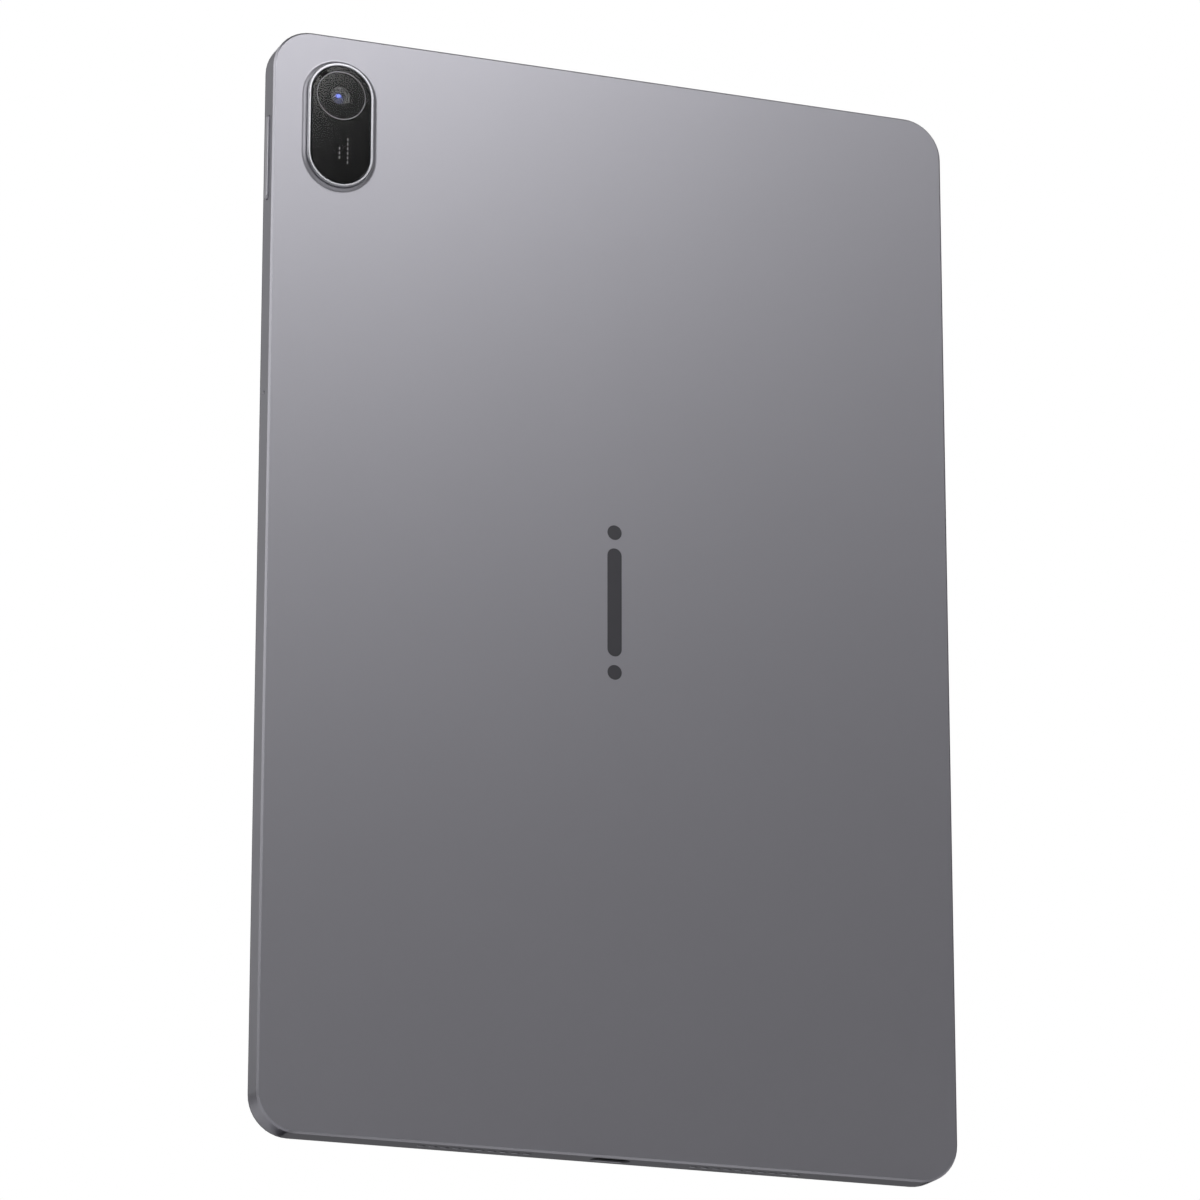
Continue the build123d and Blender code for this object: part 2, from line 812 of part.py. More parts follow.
bracket_reach = y_floor - bracket_front
bracket_middle = (y_floor + bracket_front) / 2
volume_bracket_length = rocker_length + 2 * rocker_bracket_margin
with BuildPart() as volume_flex:
    with BuildSketch(side_plane(x_switch - flex_thickness)):
        with Locations((button_depth, rocker_z)):
            RectangleRounded(
                switch_width, rocker_switch_spacing + 2 * switch_length, switch_strip_corner
            )
    extrude(amount=flex_thickness)
save(volume_flex, "volume_flex")

x_bracket = x_switch - flex_thickness - bracket_sheet
with BuildPart() as volume_bracket:
    with BuildSketch(side_plane(x_bracket)):
        with Locations((bracket_middle, rocker_z)):
            Rectangle(bracket_reach, volume_bracket_length)
    extrude(amount=bracket_sheet)
    # foot that is bonded to the back wall
    with BuildSketch(depth_plane(y_floor)):
        with Locations((x_bracket + (bracket_sheet - rocker_bracket_foot) / 2, rocker_z)):
            Rectangle(rocker_bracket_foot + bracket_sheet, volume_bracket_length)
    extrude(amount=bracket_sheet)
save(volume_bracket, "volume_bracket")

# ================================================================ power button
z_power_flange_top = z_top_inner - power_wall_gap
z_power_flange = z_power_flange_top - flange_thickness
z_power_nub = z_power_flange - nub_height
with BuildPart() as power_button:
    with BuildSketch(level_plane(z_power_flange)):
        with Locations((power_x, button_depth)):
            SlotOverall(power_length, key_width)
    extrude(amount=body_height + power_proud - z_power_flange)
    fillet(power_button.faces().sort_by(Axis.Z)[-1].edges(), key_edge_round)
    with BuildSketch(level_plane(z_power_flange)):
        with Locations((power_x, button_depth)):
            RectangleRounded(power_length + 2 * flange_overhang, flange_width, flange_corner)
    extrude(amount=flange_thickness)
    with BuildSketch(level_plane(z_power_flange)):
        with Locations((power_x, button_depth)):
            Circle(nub_diameter / 2)
    extrude(amount=-nub_height)
save(power_button, "power_button")

z_switch = z_power_nub - touch_gap - plunger_height + plunger_sink - switch_height
power_switch_plane = level_plane(z_switch)
power_press = (power_x, button_depth)
save(switch_body(power_switch_plane, [power_press], 0), "power_switch")
save(plunger(power_switch_plane, power_press), "power_plunger")

with BuildPart() as power_flex:
    with BuildSketch(level_plane(z_switch - flex_thickness)):
        with Locations(power_press):
            RectangleRounded(3 * switch_length, switch_width, switch_strip_corner)
    extrude(amount=flex_thickness)
save(power_flex, "power_flex")

z_bracket = z_switch - flex_thickness - bracket_sheet
power_bracket_length = power_length + 2 * power_bracket_margin
with BuildPart() as power_bracket:
    with BuildSketch(level_plane(z_bracket)):
        with Locations((power_x, bracket_middle)):
            Rectangle(power_bracket_length, bracket_reach)
    extrude(amount=bracket_sheet)
    with BuildSketch(depth_plane(y_floor)):
        with Locations((power_x, z_bracket + (bracket_sheet - power_bracket_foot) / 2)):
            Rectangle(power_bracket_length, power_bracket_foot + bracket_sheet)
    extrude(amount=bracket_sheet)
save(power_bracket, "power_bracket")

# ================================================================ main board
with BuildPart() as mainboard:
    with BuildSketch(depth_plane(main_depth)):
        with Locations((0, main_bottom + main_height / 2)):
            RectangleRounded(main_width, main_height, main_corner)
        # notch above the middle, where the display cable passes
        with Locations((0, main_bottom + main_height)):
            Rectangle(
                display_flex_width + 2 * main_notch_margin, 2 * main_notch_depth, mode=Mode.SUBTRACT
            )
        with Locations(*main_screws):
            Circle(board_hole / 2, mode=Mode.SUBTRACT)
    extrude(amount=main_thickness)
save(mainboard, "mainboard")

chip_row = main_bottom + main_height / 2
with BuildPart() as processor:
    with BuildSketch(depth_plane(main_depth + chip_height)):
        with Locations((processor_x, chip_row)):
            RectangleRounded(processor_size, processor_size, processor_corner)
    extrude(amount=chip_height / 2)
    carrier_size = processor_size + 2 * processor_carrier_margin
    with BuildSketch(depth_plane(main_depth + chip_height / 2)):
        with Locations((processor_x, chip_row)):
            RectangleRounded(carrier_size, carrier_size, processor_carrier_corner)
    extrude(amount=chip_height / 2)
save(processor, "processor")
save(
    slab(memory_width, memory_length, main_depth, main_depth + chip_height,
         [(memory_x, chip_row), (-memory_x, chip_row)], memory_corner),
    "memory_chips",
)


def shield_can(width, height, middle):
    """Thin metal lid over a group of chips on the display side of the main board."""
    y_top = y_main_front - shield_height
    with BuildPart() as piece:
        with BuildSketch(depth_plane(y_main_front)):
            with Locations((middle, chip_row)):
                RectangleRounded(width, height, shield_corner)
        extrude(amount=shield_height)
        fillet(piece.faces().sort_by(Axis.Y)[0].edges(), shield_edge_round)
        with BuildSketch(depth_plane(y_main_front)):
            with Locations((middle, chip_row)):
                RectangleRounded(
                    width - 2 * shield_sheet, height - 2 * shield_sheet, shield_corner - shield_sheet
                )
        extrude(amount=y_main_front - y_top - shield_sheet, mode=Mode.SUBTRACT)
    return piece


save(shield_can(*large_shield), "shield_can_large")
save(shield_can(*small_shield), "shield_can_small")

connector_z = main_bottom + main_height - connector_edge
display_connector = (display_connector_x, chip_row)
camera_connector = (lens_x, connector_z)
battery_connector = (0.0, main_bottom + connector_edge)
link_connector = (-link_offset, main_bottom + connector_edge)
with BuildPart() as board_connectors:
    with BuildSketch(depth_plane(y_main_front)):
        with Locations(display_connector, camera_connector, battery_connector, link_connector):
            RectangleRounded(connector_length, connector_width, connector_corner)
    extrude(amount=connector_height)
save(board_connectors, "board_connectors")

# ================================================================ battery
cell_centres = [side * (cell_gap + cell_width) / 2 for side in (-1, 1)]
cell_middle = cell_bottom + cell_height / 2
for side_name, cell_x in zip(("left", "right"), cell_centres):
    with BuildPart() as cell:
        with BuildSketch(depth_plane(y_cell_back)):
            with Locations((cell_x, cell_middle)):
                RectangleRounded(cell_width, cell_height, cell_corner)
        extrude(amount=cell_thickness)
        fillet(cell.faces().sort_by(Axis.Y)[0].edges(), cell_edge_round)
        # sealed terrace at the top end, where the tabs come out
        with BuildSketch(depth_plane(y_cell_back)):
            with Locations((cell_x, cell_bottom + cell_height + cell_terrace / 2)):
                Rectangle(cell_width - 2 * cell_corner, cell_terrace)
        extrude(amount=cell_terrace_thickness)
    save(cell, f"battery_cell_{side_name}")

with BuildPart() as battery_adhesive:
    with BuildSketch(depth_plane(y_floor)):
        for cell_x in cell_centres:
            with Locations((cell_x - cell_width / 4, cell_middle), (cell_x + cell_width / 4, cell_middle)):
                RectangleRounded(
                    cell_width / 3, cell_height - 2 * cell_film_margin, cell_film_corner
                )
    extrude(amount=adhesive_thickness)
save(battery_adhesive, "battery_adhesive")

board_z = cell_bottom + cell_height + cell_terrace + battery_board_height / 2
with BuildPart() as battery_board:
    with BuildSketch(depth_plane(y_floor)):
        with Locations((0, board_z)):
            RectangleRounded(battery_board_width, battery_board_height, battery_board_corner)
    extrude(amount=battery_board_thickness)
    with BuildSketch(depth_plane(y_floor - battery_board_thickness)):
        with Locations(*[(x, board_z) for x in battery_chip_places]):
            Rectangle(battery_chip_length, battery_chip_width)
    extrude(amount=battery_chip_height)
save(battery_board, "battery_board")

y_connector = y_main_front - connector_height
y_battery_board = y_floor - battery_board_thickness
flex_half = flex_thickness / 2
save(
    ribbon(
        [
            (y_battery_board - flex_half, board_z),
            (y_battery_board - flex_half, board_z + battery_flex_run),
            (y_connector - flex_half, battery_connector[1] - battery_flex_landing),
            (y_connector - flex_half, battery_connector[1] + flex_overlap),
        ],
        battery_flex_bend, battery_flex_width, 0.0,
    ),
    "battery_flex",
)

# ================================================================ lower board and port
with BuildPart() as sub_board:
    with BuildSketch(depth_plane(y_floor)):
        with Locations((0, sub_bottom + sub_height / 2)):
            RectangleRounded(sub_width, sub_height, sub_corner)
        with Locations(*sub_screws):
            Circle(board_hole / 2, mode=Mode.SUBTRACT)
    extrude(amount=sub_thickness)
    with BuildSketch(depth_plane(y_sub_front)):
        with Locations((0, sub_bottom + sub_height - sub_socket_edge)):
            Rectangle(connector_length, connector_width)
        with Locations(*[(x, sub_bottom + up) for x, up in sub_chip_places]):
            Rectangle(sub_chip_length, sub_chip_width)
    extrude(amount=sub_part_height)
save(sub_board, "sub_board")

z_port_back = port_recess + port_shell_length
with BuildPart() as usb_c_shell:
    with BuildSketch(level_plane(port_recess)):
        with Locations((0, port_depth)):
            SlotOverall(port_width + 2 * port_shell_wall, port_height + 2 * port_shell_wall)
            SlotOverall(port_width, port_height, mode=Mode.SUBTRACT)
    extrude(amount=port_shell_length)
save(usb_c_shell, "usb_c_shell")

with BuildPart() as usb_c_tongue:
    with BuildSketch(level_plane(z_port_back)):
        with Locations((0, port_depth)):
            SlotOverall(port_width, port_height)
    extrude(amount=-port_base)
    with BuildSketch(level_plane(z_port_back - port_base)):
        with Locations((0, port_depth)):
            Rectangle(port_tongue_width, port_tongue_thickness)
    extrude(amount=-(port_shell_length - port_base - port_tongue_setback))
    fillet(usb_c_tongue.faces().sort_by(Axis.Z)[0].edges().filter_by(Axis.X), port_tongue_thickness / 4)
save(usb_c_tongue, "usb_c_tongue")

link_top = cell_bottom + cell_height
with BuildPart() as interconnect_flex:
    # flat run along the back wall, between the two cells
    with BuildSketch(depth_plane(y_floor)):
        with Locations((0, (sub_bottom + sub_height + link_top) / 2 + link_flex_shift)):
            Rectangle(ribbon_width, link_top - sub_bottom - sub_height)
    extrude(amount=flex_thickness)
save(interconnect_flex, "interconnect_flex")

# ================================================================ display and camera cables
save(
    ribbon(
        [
            (y_graphite_back + flex_half, chip_row - display_flex_start),
            (y_graphite_back + flex_half, chip_row - display_flex_run),
            (y_connector - flex_half, chip_row - display_flex_landing),
            (y_connector - flex_half, chip_row + flex_overlap),
        ],
        display_flex_bend, display_flex_strip, display_connector[0],
    ),
    "display_flex",
)
save(
    ribbon(
        [
            (y_can_front - camera_board_thickness - flex_half, lens_z - camera_flex_run),
            (y_can_front - camera_board_thickness - flex_half, lens_z - camera_can / 2 - camera_flex_run),
            (y_connector - flex_half, connector_z + camera_flex_landing),
            (y_connector - flex_half, connector_z - flex_overlap),
        ],
        camera_flex_bend, camera_flex_width, lens_x,
    ),
    "camera_flex",
)

# ================================================================ speakers
speaker_centre = speaker_from_middle + speaker_width / 2
speaker_back = y_floor
edge_gap = side_wall + mesh_thickness
for end_name, edge_z, inward in (("bottom", 0.0, 1), ("top", body_height, -1)):
    box_z = edge_z + inward * (edge_gap + speaker_height / 2)
    for side_name, side in (("left", -1), ("right", 1)):
        with BuildPart() as speaker:
            with BuildSketch(depth_plane(speaker_back)):
                with Locations((side * speaker_centre, box_z)):
                    RectangleRounded(speaker_width, speaker_height, speaker_corner)
            extrude(amount=speaker_thickness)
            chamfer(speaker.faces().sort_by(Axis.Y)[0].edges(), speaker_edge_chamfer)
            # round recess and raised cap of the driver
            with BuildSketch(depth_plane(speaker_back - speaker_thickness)):
                with Locations((side * speaker_centre, box_z)):
                    Circle(speaker_cone / 2)
                    Circle(speaker_cone / 4, mode=Mode.SUBTRACT)
            extrude(amount=-speaker_recess, mode=Mode.SUBTRACT)
        save(speaker, f"speaker_{end_name}_{side_name}")

mesh_length = speaker_pitch * speaker_slots + 2 * mesh_margin
mesh_middle = speaker_first + speaker_pitch * speaker_slots / 2
with BuildPart() as speaker_meshes:
    for mesh_z in (side_wall, body_height - edge_gap):
        with BuildSketch(level_plane(mesh_z)):
            with Locations((-mesh_middle, slot_row_depth), (mesh_middle, slot_row_depth)):
                RectangleRounded(mesh_length, mesh_width, mesh_corner)
        extrude(amount=mesh_thickness)
save(speaker_meshes, "speaker_meshes")

# ================================================================ microphones, antennas, front sensors
with BuildPart() as microphones:
    with BuildSketch(side_plane(x_side_inner)):
        with Locations((button_depth, mic_height)):
            RectangleRounded(mic_width, mic_length, mic_corner)
    extrude(amount=-mic_thickness)
    with BuildSketch(level_plane(side_wall)):
        with Locations((-bottom_mic_from_middle, slot_row_depth)):
            RectangleRounded(mic_length, mic_width, mic_corner)
    extrude(amount=bottom_mic_thickness)
save(microphones, "microphones")

antenna_x = half_width - side_wall - fit_clearance - antenna_width / 2
with BuildPart() as antennas:
    with BuildSketch(depth_plane(y_floor)):
        with Locations(
            (-antenna_x, body_height - corner_radius - antenna_length / 2),
            (-antenna_x, corner_radius + antenna_length / 2),
            (antenna_x, corner_radius + antenna_length / 2),
        ):
            RectangleRounded(antenna_width, antenna_length, antenna_corner)
    extrude(amount=antenna_thickness)
    chamfer(antennas.faces().filter_by(Axis.Y).group_by(Axis.Y)[0].edges(), antenna_chamfer)
save(antennas, "antennas")

with BuildPart() as front_camera:
    with BuildSketch(depth_plane(y_print_back + front_camera_depth)):
        with Locations(front_camera_place):
            RectangleRounded(front_camera_size, front_camera_size, front_camera_corner)
    extrude(amount=front_camera_depth)
    with BuildSketch(depth_plane(y_print_back)):
        with Locations(front_camera_place):
            Circle(front_lens_diameter / 2)
    extrude(amount=-front_lens_depth, mode=Mode.SUBTRACT)
save(front_camera, "front_camera")

with BuildPart() as light_sensor:
    with BuildSketch(depth_plane(y_print_back + light_sensor_depth)):
        with Locations(light_sensor_place):
            RectangleRounded(light_sensor_width, light_sensor_length, light_sensor_corner)
    extrude(amount=light_sensor_depth)
    with BuildSketch(depth_plane(y_print_back)):
        with Locations(light_sensor_place):
            Circle(light_sensor_eye / 2)
    extrude(amount=-light_sensor_eye_depth, mode=Mode.SUBTRACT)
save(light_sensor, "light_sensor")

# ================================================================ screws
with BuildPart() as board_screws:
    for seat, tip, places in (
        (y_main_front, main_depth + main_screw_reach, main_screws),
        (y_sub_front, y_floor + screw_bite - screw_tip_gap, sub_screws),
    ):
        with BuildSketch(depth_plane(seat)):
            with Locations(*places):
                Circle(screw_head / 2)
        extrude(amount=screw_head_height)
        with BuildSketch(depth_plane(tip)):
            with Locations(*places):
                Circle(screw_shank / 2)
        extrude(amount=tip - seat)
save(board_screws, "board_screws")
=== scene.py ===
"""A slim tablet computer: the CAD frame dressed with finishes, fine parts and a soft studio."""

import logging
import math
from dataclasses import dataclass, field
from enum import Enum
from typing import Callable, Iterable, Sequence

import bmesh
import bpy
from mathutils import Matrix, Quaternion, Vector


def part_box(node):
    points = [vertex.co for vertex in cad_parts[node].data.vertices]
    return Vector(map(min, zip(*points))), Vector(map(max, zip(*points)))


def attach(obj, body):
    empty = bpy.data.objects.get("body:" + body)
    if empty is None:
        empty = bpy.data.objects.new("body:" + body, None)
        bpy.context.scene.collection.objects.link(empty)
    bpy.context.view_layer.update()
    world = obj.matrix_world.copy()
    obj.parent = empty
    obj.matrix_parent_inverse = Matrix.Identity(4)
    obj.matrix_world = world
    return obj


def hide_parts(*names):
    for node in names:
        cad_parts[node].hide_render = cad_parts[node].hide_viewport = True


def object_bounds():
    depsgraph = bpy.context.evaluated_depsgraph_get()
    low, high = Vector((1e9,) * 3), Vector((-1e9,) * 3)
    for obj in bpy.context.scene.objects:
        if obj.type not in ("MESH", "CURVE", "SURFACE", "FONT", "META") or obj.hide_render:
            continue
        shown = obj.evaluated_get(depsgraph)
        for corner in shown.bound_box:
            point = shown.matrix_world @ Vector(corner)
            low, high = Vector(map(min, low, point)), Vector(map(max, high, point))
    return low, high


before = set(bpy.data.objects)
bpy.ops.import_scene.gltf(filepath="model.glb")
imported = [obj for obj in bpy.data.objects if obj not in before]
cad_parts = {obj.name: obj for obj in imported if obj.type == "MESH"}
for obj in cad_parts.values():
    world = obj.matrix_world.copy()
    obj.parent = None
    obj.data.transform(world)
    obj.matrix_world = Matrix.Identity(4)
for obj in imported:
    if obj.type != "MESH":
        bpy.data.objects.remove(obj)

log = logging.getLogger("tablet")

MM = 0.001
TABLET = "tablet"
CAD_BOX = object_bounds()
QUARTER_TURN = math.pi / 2
WELD_DISTANCE = 0.001 * MM
FLAT_ANGLE = 0.2
TURNED_CREASE_ANGLE = 30.0
SENSOR_WIDTH = 36.0
LEAST_ROUGHNESS = 0.02
EDGE_SHEEN_SMOOTHING = 0.06
FLOOR_MOTTLE = 0.985


class GrainRun(Enum):
    """Which way the fine marks of a finish run."""

    EVEN = (1.0, 1.0, 1.0)
    ALONG_X = (0.02, 1.0, 1.0)
    ALONG_Z = (1.0, 1.0, 0.02)


class Side(Enum):
    """Which side of the middle a repeated part is on."""

    LEFT = -1
    RIGHT = 1


# ------------------------------------------------------------ node helpers


class NodeSheet:
    """A node tree with short ways to add and join nodes."""

    def __init__(self, tree: bpy.types.NodeTree) -> None:
        """Keep the tree and empty it.

        Args:
            tree: The shader or geometry tree to fill.
        """
        self.tree = tree
        tree.nodes.clear()

    def add(self, kind: str, inputs: dict | None = None, **settings: object) -> bpy.types.Node:
        """Add a node.

        Args:
            kind: The node's type name.
            inputs: Values or sockets for its inputs, by name or number.
            **settings: Values for the node's own properties.

        Returns:
            The new node.
        """
        node = self.tree.nodes.new(kind)
        for name, value in settings.items():
            setattr(node, name, value)
        for key, value in (inputs or {}).items():
            self.feed(node.inputs[key], value)
        return node

    def feed(self, target: bpy.types.NodeSocket, value: object) -> None:
        """Join a socket to an input, or set the input's own value.

        Args:
            target: The input.
            value: A socket to join, or a plain value.
        """
        if isinstance(value, bpy.types.NodeSocket):
            self.tree.links.new(value, target)
        else:
            target.default_value = value

    def place(self) -> bpy.types.NodeSocket:
        """Return the socket of the object coordinates."""
        return self.add("ShaderNodeTexCoord").outputs["Object"]

    def join(self, *parts: bpy.types.NodeSocket) -> bpy.types.NodeSocket:
        """Join pieces of geometry, and return the result's socket."""
        joined = self.add("GeometryNodeJoinGeometry")
        for part in parts:
            self.tree.links.new(part, joined.inputs[0])
        return joined.outputs[0]

    def times(self, first: object, second: object) -> bpy.types.NodeSocket:
        """Return the socket of one value times another."""
        return self.math("MULTIPLY", first, second)

    def math(self, operation: str, first: object, second: object = 0.0,
             clamp: bool = False) -> bpy.types.NodeSocket:
        """Add a Math node.

        Args:
            operation: The operation's name.
            first: First value or socket.
            second: Second value or socket.
            clamp: Whether to keep the result between 0 and 1.

        Returns:
            The result's socket.
        """
        node = self.add("ShaderNodeMath", {0: first, 1: second}, operation=operation, use_clamp=clamp)
        return node.outputs[0]

    def spread(self, value: object, low: float, high: float) -> bpy.types.NodeSocket:
        """Map a 0 to 1 value onto a range.

        Args:
            value: The socket to map.
            low: Result at 0.
            high: Result at 1.

        Returns:
            The mapped socket.
        """
        node = self.add("ShaderNodeMapRange", {"Value": value, "To Min": low, "To Max": high})
        return node.outputs["Result"]

    def blend_colors(self, factor: object, first: object, second: object) -> bpy.types.NodeSocket:
        """Mix two colours.

        Args:
            factor: How much of the second colour.
            first: First colour or socket.
            second: Second colour or socket.

        Returns:
            The mixed colour's socket.
        """
        node = self.add("ShaderNodeMix", data_type="RGBA")
        self.feed(node.inputs[0], factor)
        self.feed(node.inputs[6], first)
        self.feed(node.inputs[7], second)
        return node.outputs[2]


def rgba(color: Sequence[float]) -> tuple[float, float, float, float]:
    """Return a colour with full alpha."""
    return (color[0], color[1], color[2], 1.0)


def shared_group(name: str, inputs: dict[str, float], outputs: Sequence[str],
                 fill: Callable[[NodeSheet, bpy.types.Node, bpy.types.Node], None]) -> bpy.types.NodeTree:
    """Return a shader node group, building it the first time.

    Args:
        name: The group's name.
        inputs: Float inputs and their defaults.
        outputs: Names of the float outputs.
        fill: Builds the inside, given the sheet, the input node and the output node.

    Returns:
        The group's tree.
    """
    if name in bpy.data.node_groups:
        return bpy.data.node_groups[name]
    tree = bpy.data.node_groups.new(name, "ShaderNodeTree")
    for label, default in inputs.items():
        socket = tree.interface.new_socket(label, in_out="INPUT", socket_type="NodeSocketFloat")
        socket.default_value = default
    for label in outputs:
        tree.interface.new_socket(label, in_out="OUTPUT", socket_type="NodeSocketFloat")
    sheet = NodeSheet(tree)
    fill(sheet, sheet.add("NodeGroupInput"), sheet.add("NodeGroupOutput"))
    return tree


def fill_grain(sheet: NodeSheet, source: bpy.types.Node, result: bpy.types.Node) -> None:
    """Fine even grain and a slow mottle, both in object coordinates.

    Args:
        sheet: The group's tree.
        source: The group's input node.
        result: The group's output node.
    """
    place = sheet.place()
    stretch = sheet.add("ShaderNodeCombineXYZ", {
        "X": source.outputs["Stretch X"], "Y": source.outputs["Stretch Y"], "Z": source.outputs["Stretch Z"]})
    run = sheet.add("ShaderNodeVectorMath", {0: place, 1: stretch.outputs[0]}, operation="MULTIPLY")
    grain = sheet.add("ShaderNodeTexNoise", {
        "Vector": run.outputs[0], "Scale": source.outputs["Grain Scale"], "Detail": 2.0, "Roughness": 0.6})
    mottle = sheet.add("ShaderNodeTexNoise", {
        "Vector": place, "Scale": source.outputs["Mottle Scale"], "Detail": 3.0, "Roughness": 0.55})
    sheet.feed(result.inputs["Grain"], grain.outputs["Fac"])
    sheet.feed(result.inputs["Mottle"], mottle.outputs["Fac"])


def fill_edge_band(sheet: NodeSheet, source: bpy.types.Node, result: bpy.types.Node) -> None:
    """Mask that is 1 on the slab's outer edge and fades to 0 one band's width inside it.

    Args:
        sheet: The group's tree.
        source: The group's input node.
        result: The group's output node.
    """
    place = sheet.place()
    split = sheet.add("ShaderNodeSeparateXYZ", {0: place})
    radius = source.outputs["Corner Radius"]
    across = sheet.math("ABSOLUTE", split.outputs["X"])
    across = sheet.math("SUBTRACT", across, sheet.math("SUBTRACT", source.outputs["Half Width"], radius))
    up = sheet.math("ABSOLUTE", sheet.math("SUBTRACT", split.outputs["Z"], source.outputs["Half Height"]))
    up = sheet.math("SUBTRACT", up, sheet.math("SUBTRACT", source.outputs["Half Height"], radius))
    beyond_x = sheet.math("MAXIMUM", across, 0.0)
    beyond_z = sheet.math("MAXIMUM", up, 0.0)
    outside = sheet.math("SQRT", sheet.math("ADD", sheet.times(beyond_x, beyond_x),
                                            sheet.times(beyond_z, beyond_z)))
    inside = sheet.math("MINIMUM", sheet.math("MAXIMUM", across, up), 0.0)
    distance = sheet.math("SUBTRACT", sheet.math("ADD", outside, inside), radius)
    band = source.outputs["Band"]
    mask = sheet.math("DIVIDE", sheet.math("ADD", distance, band), band, clamp=True)
    sheet.feed(result.inputs["Mask"], mask)


def fill_smudge(sheet: NodeSheet, source: bpy.types.Node, result: bpy.types.Node) -> None:
    """Faint wiped haze, as glass and polished metal pick up from hands.

    Args:
        sheet: The group's tree.
        source: The group's input node.
        result: The group's output node.
    """
    place = sheet.place()
    broad = sheet.add("ShaderNodeTexNoise", {
        "Vector": place, "Scale": source.outputs["Scale"], "Detail": 4.0, "Distortion": 1.2})
    wipe = sheet.add("ShaderNodeTexWave", {
        "Vector": place, "Scale": source.outputs["Scale"], "Distortion": 6.0, "Detail": 3.0})
    product = sheet.times(broad.outputs["Fac"], wipe.outputs["Fac"])
    sheet.feed(result.inputs["Haze"], product)


def grain_node(sheet: NodeSheet, run: GrainRun, grain_scale: float, mottle_scale: float) -> bpy.types.Node:
    """Place the shared grain group in a material.

    Args:
        sheet: The material's tree.
        run: Which way the grain runs.
        grain_scale: Grains per metre.
        mottle_scale: Slow patches per metre.

    Returns:
        The group node.
    """
    defaults = {"Grain Scale": 4000.0, "Mottle Scale": 40.0,
                "Stretch X": 1.0, "Stretch Y": 1.0, "Stretch Z": 1.0}
    tree = shared_group("surface_grain", defaults, ("Grain", "Mottle"), fill_grain)
    stretch = dict(zip(("Stretch X", "Stretch Y", "Stretch Z"), run.value))
    return place_group(sheet, tree, {"Grain Scale": grain_scale, "Mottle Scale": mottle_scale, **stretch})


def place_group(sheet: NodeSheet, tree: bpy.types.NodeTree, values: dict[str, float]) -> bpy.types.Node:
    """Add a group node and set its inputs.

    Args:
        sheet: The material's tree.
        tree: The group to place.
        values: Values for its inputs.

    Returns:
        The group node.
    """
    node = sheet.add("ShaderNodeGroup", node_tree=tree)
    for name, value in values.items():
        node.inputs[name].default_value = value
    return node


# ------------------------------------------------------------ finishes


@dataclass(frozen=True)
class Finish:
    """One surface finish: a Principled shader with grain and mottle from the shared group."""

    name: str
    color: tuple[float, float, float]
    roughness: float
    metallic: float = 0.0
    grain_scale: float = 5000.0
    grain_height: float = 0.004
    grain_roughness: float = 0.06
    mottle_scale: float = 60.0
    mottle_color: float = 0.06
    run: GrainRun = GrainRun.EVEN
    specular: float = 0.5
    coat: float = 0.0
    coat_roughness: float = 0.1
    ior: float = 1.5
    transmission: float = 0.0

    def sheet(self) -> tuple[bpy.types.Material, NodeSheet, bpy.types.Node]:
        """Start the material.

        Returns:
            The material, its node sheet and its Principled node.
        """
        material = bpy.data.materials.new(self.name)
        material.use_nodes = True
        sheet = NodeSheet(material.node_tree)
        shader = sheet.add("ShaderNodeBsdfPrincipled", {
            "Base Color": rgba(self.color), "Roughness": self.roughness, "Metallic": self.metallic,
            "Specular IOR Level": self.specular, "Coat Weight": self.coat,
            "Coat Roughness": self.coat_roughness, "IOR": self.ior, "Transmission Weight": self.transmission})
        sheet.add("ShaderNodeOutputMaterial", {"Surface": shader.outputs["BSDF"]})
        return material, sheet, shader

    def tint(self, sheet: NodeSheet, mottle: bpy.types.NodeSocket) -> bpy.types.NodeSocket:
        """Vary the colour a little with the mottle.

        Args:
            sheet: The material's tree.
            mottle: The slow patches' socket.

        Returns:
            The varied colour's socket.
        """
        dark = [channel * (1.0 - self.mottle_color) for channel in self.color]
        light = [min(1.0, channel * (1.0 + self.mottle_color)) for channel in self.color]
        return sheet.blend_colors(mottle, rgba(dark), rgba(light))

    def relief(self, sheet: NodeSheet, shader: bpy.types.Node, height: bpy.types.NodeSocket) -> None:
        """Drive the shader's normal with a height.

        Args:
            sheet: The material's tree.
            shader: The Principled node.
            height: The height's socket, 0 to 1.
        """
        bump = sheet.add("ShaderNodeBump", {
            "Strength": 1.0, "Distance": self.grain_height * MM, "Height": height})
        sheet.feed(shader.inputs["Normal"], bump.outputs["Normal"])

    def build(self) -> bpy.types.Material:
        """Build the finish.

        Returns:
            The material.
        """
        material, sheet, shader = self.sheet()
        grain = grain_node(sheet, self.run, self.grain_scale, self.mottle_scale)
        sheet.feed(shader.inputs["Base Color"], self.tint(sheet, grain.outputs["Mottle"]))
        low = max(LEAST_ROUGHNESS, self.roughness - self.grain_roughness)
        sheet.feed(shader.inputs["Roughness"],
                   sheet.spread(grain.outputs["Grain"], low, self.roughness + self.grain_roughness))
        self.relief(sheet, shader, grain.outputs["Grain"])
        return material


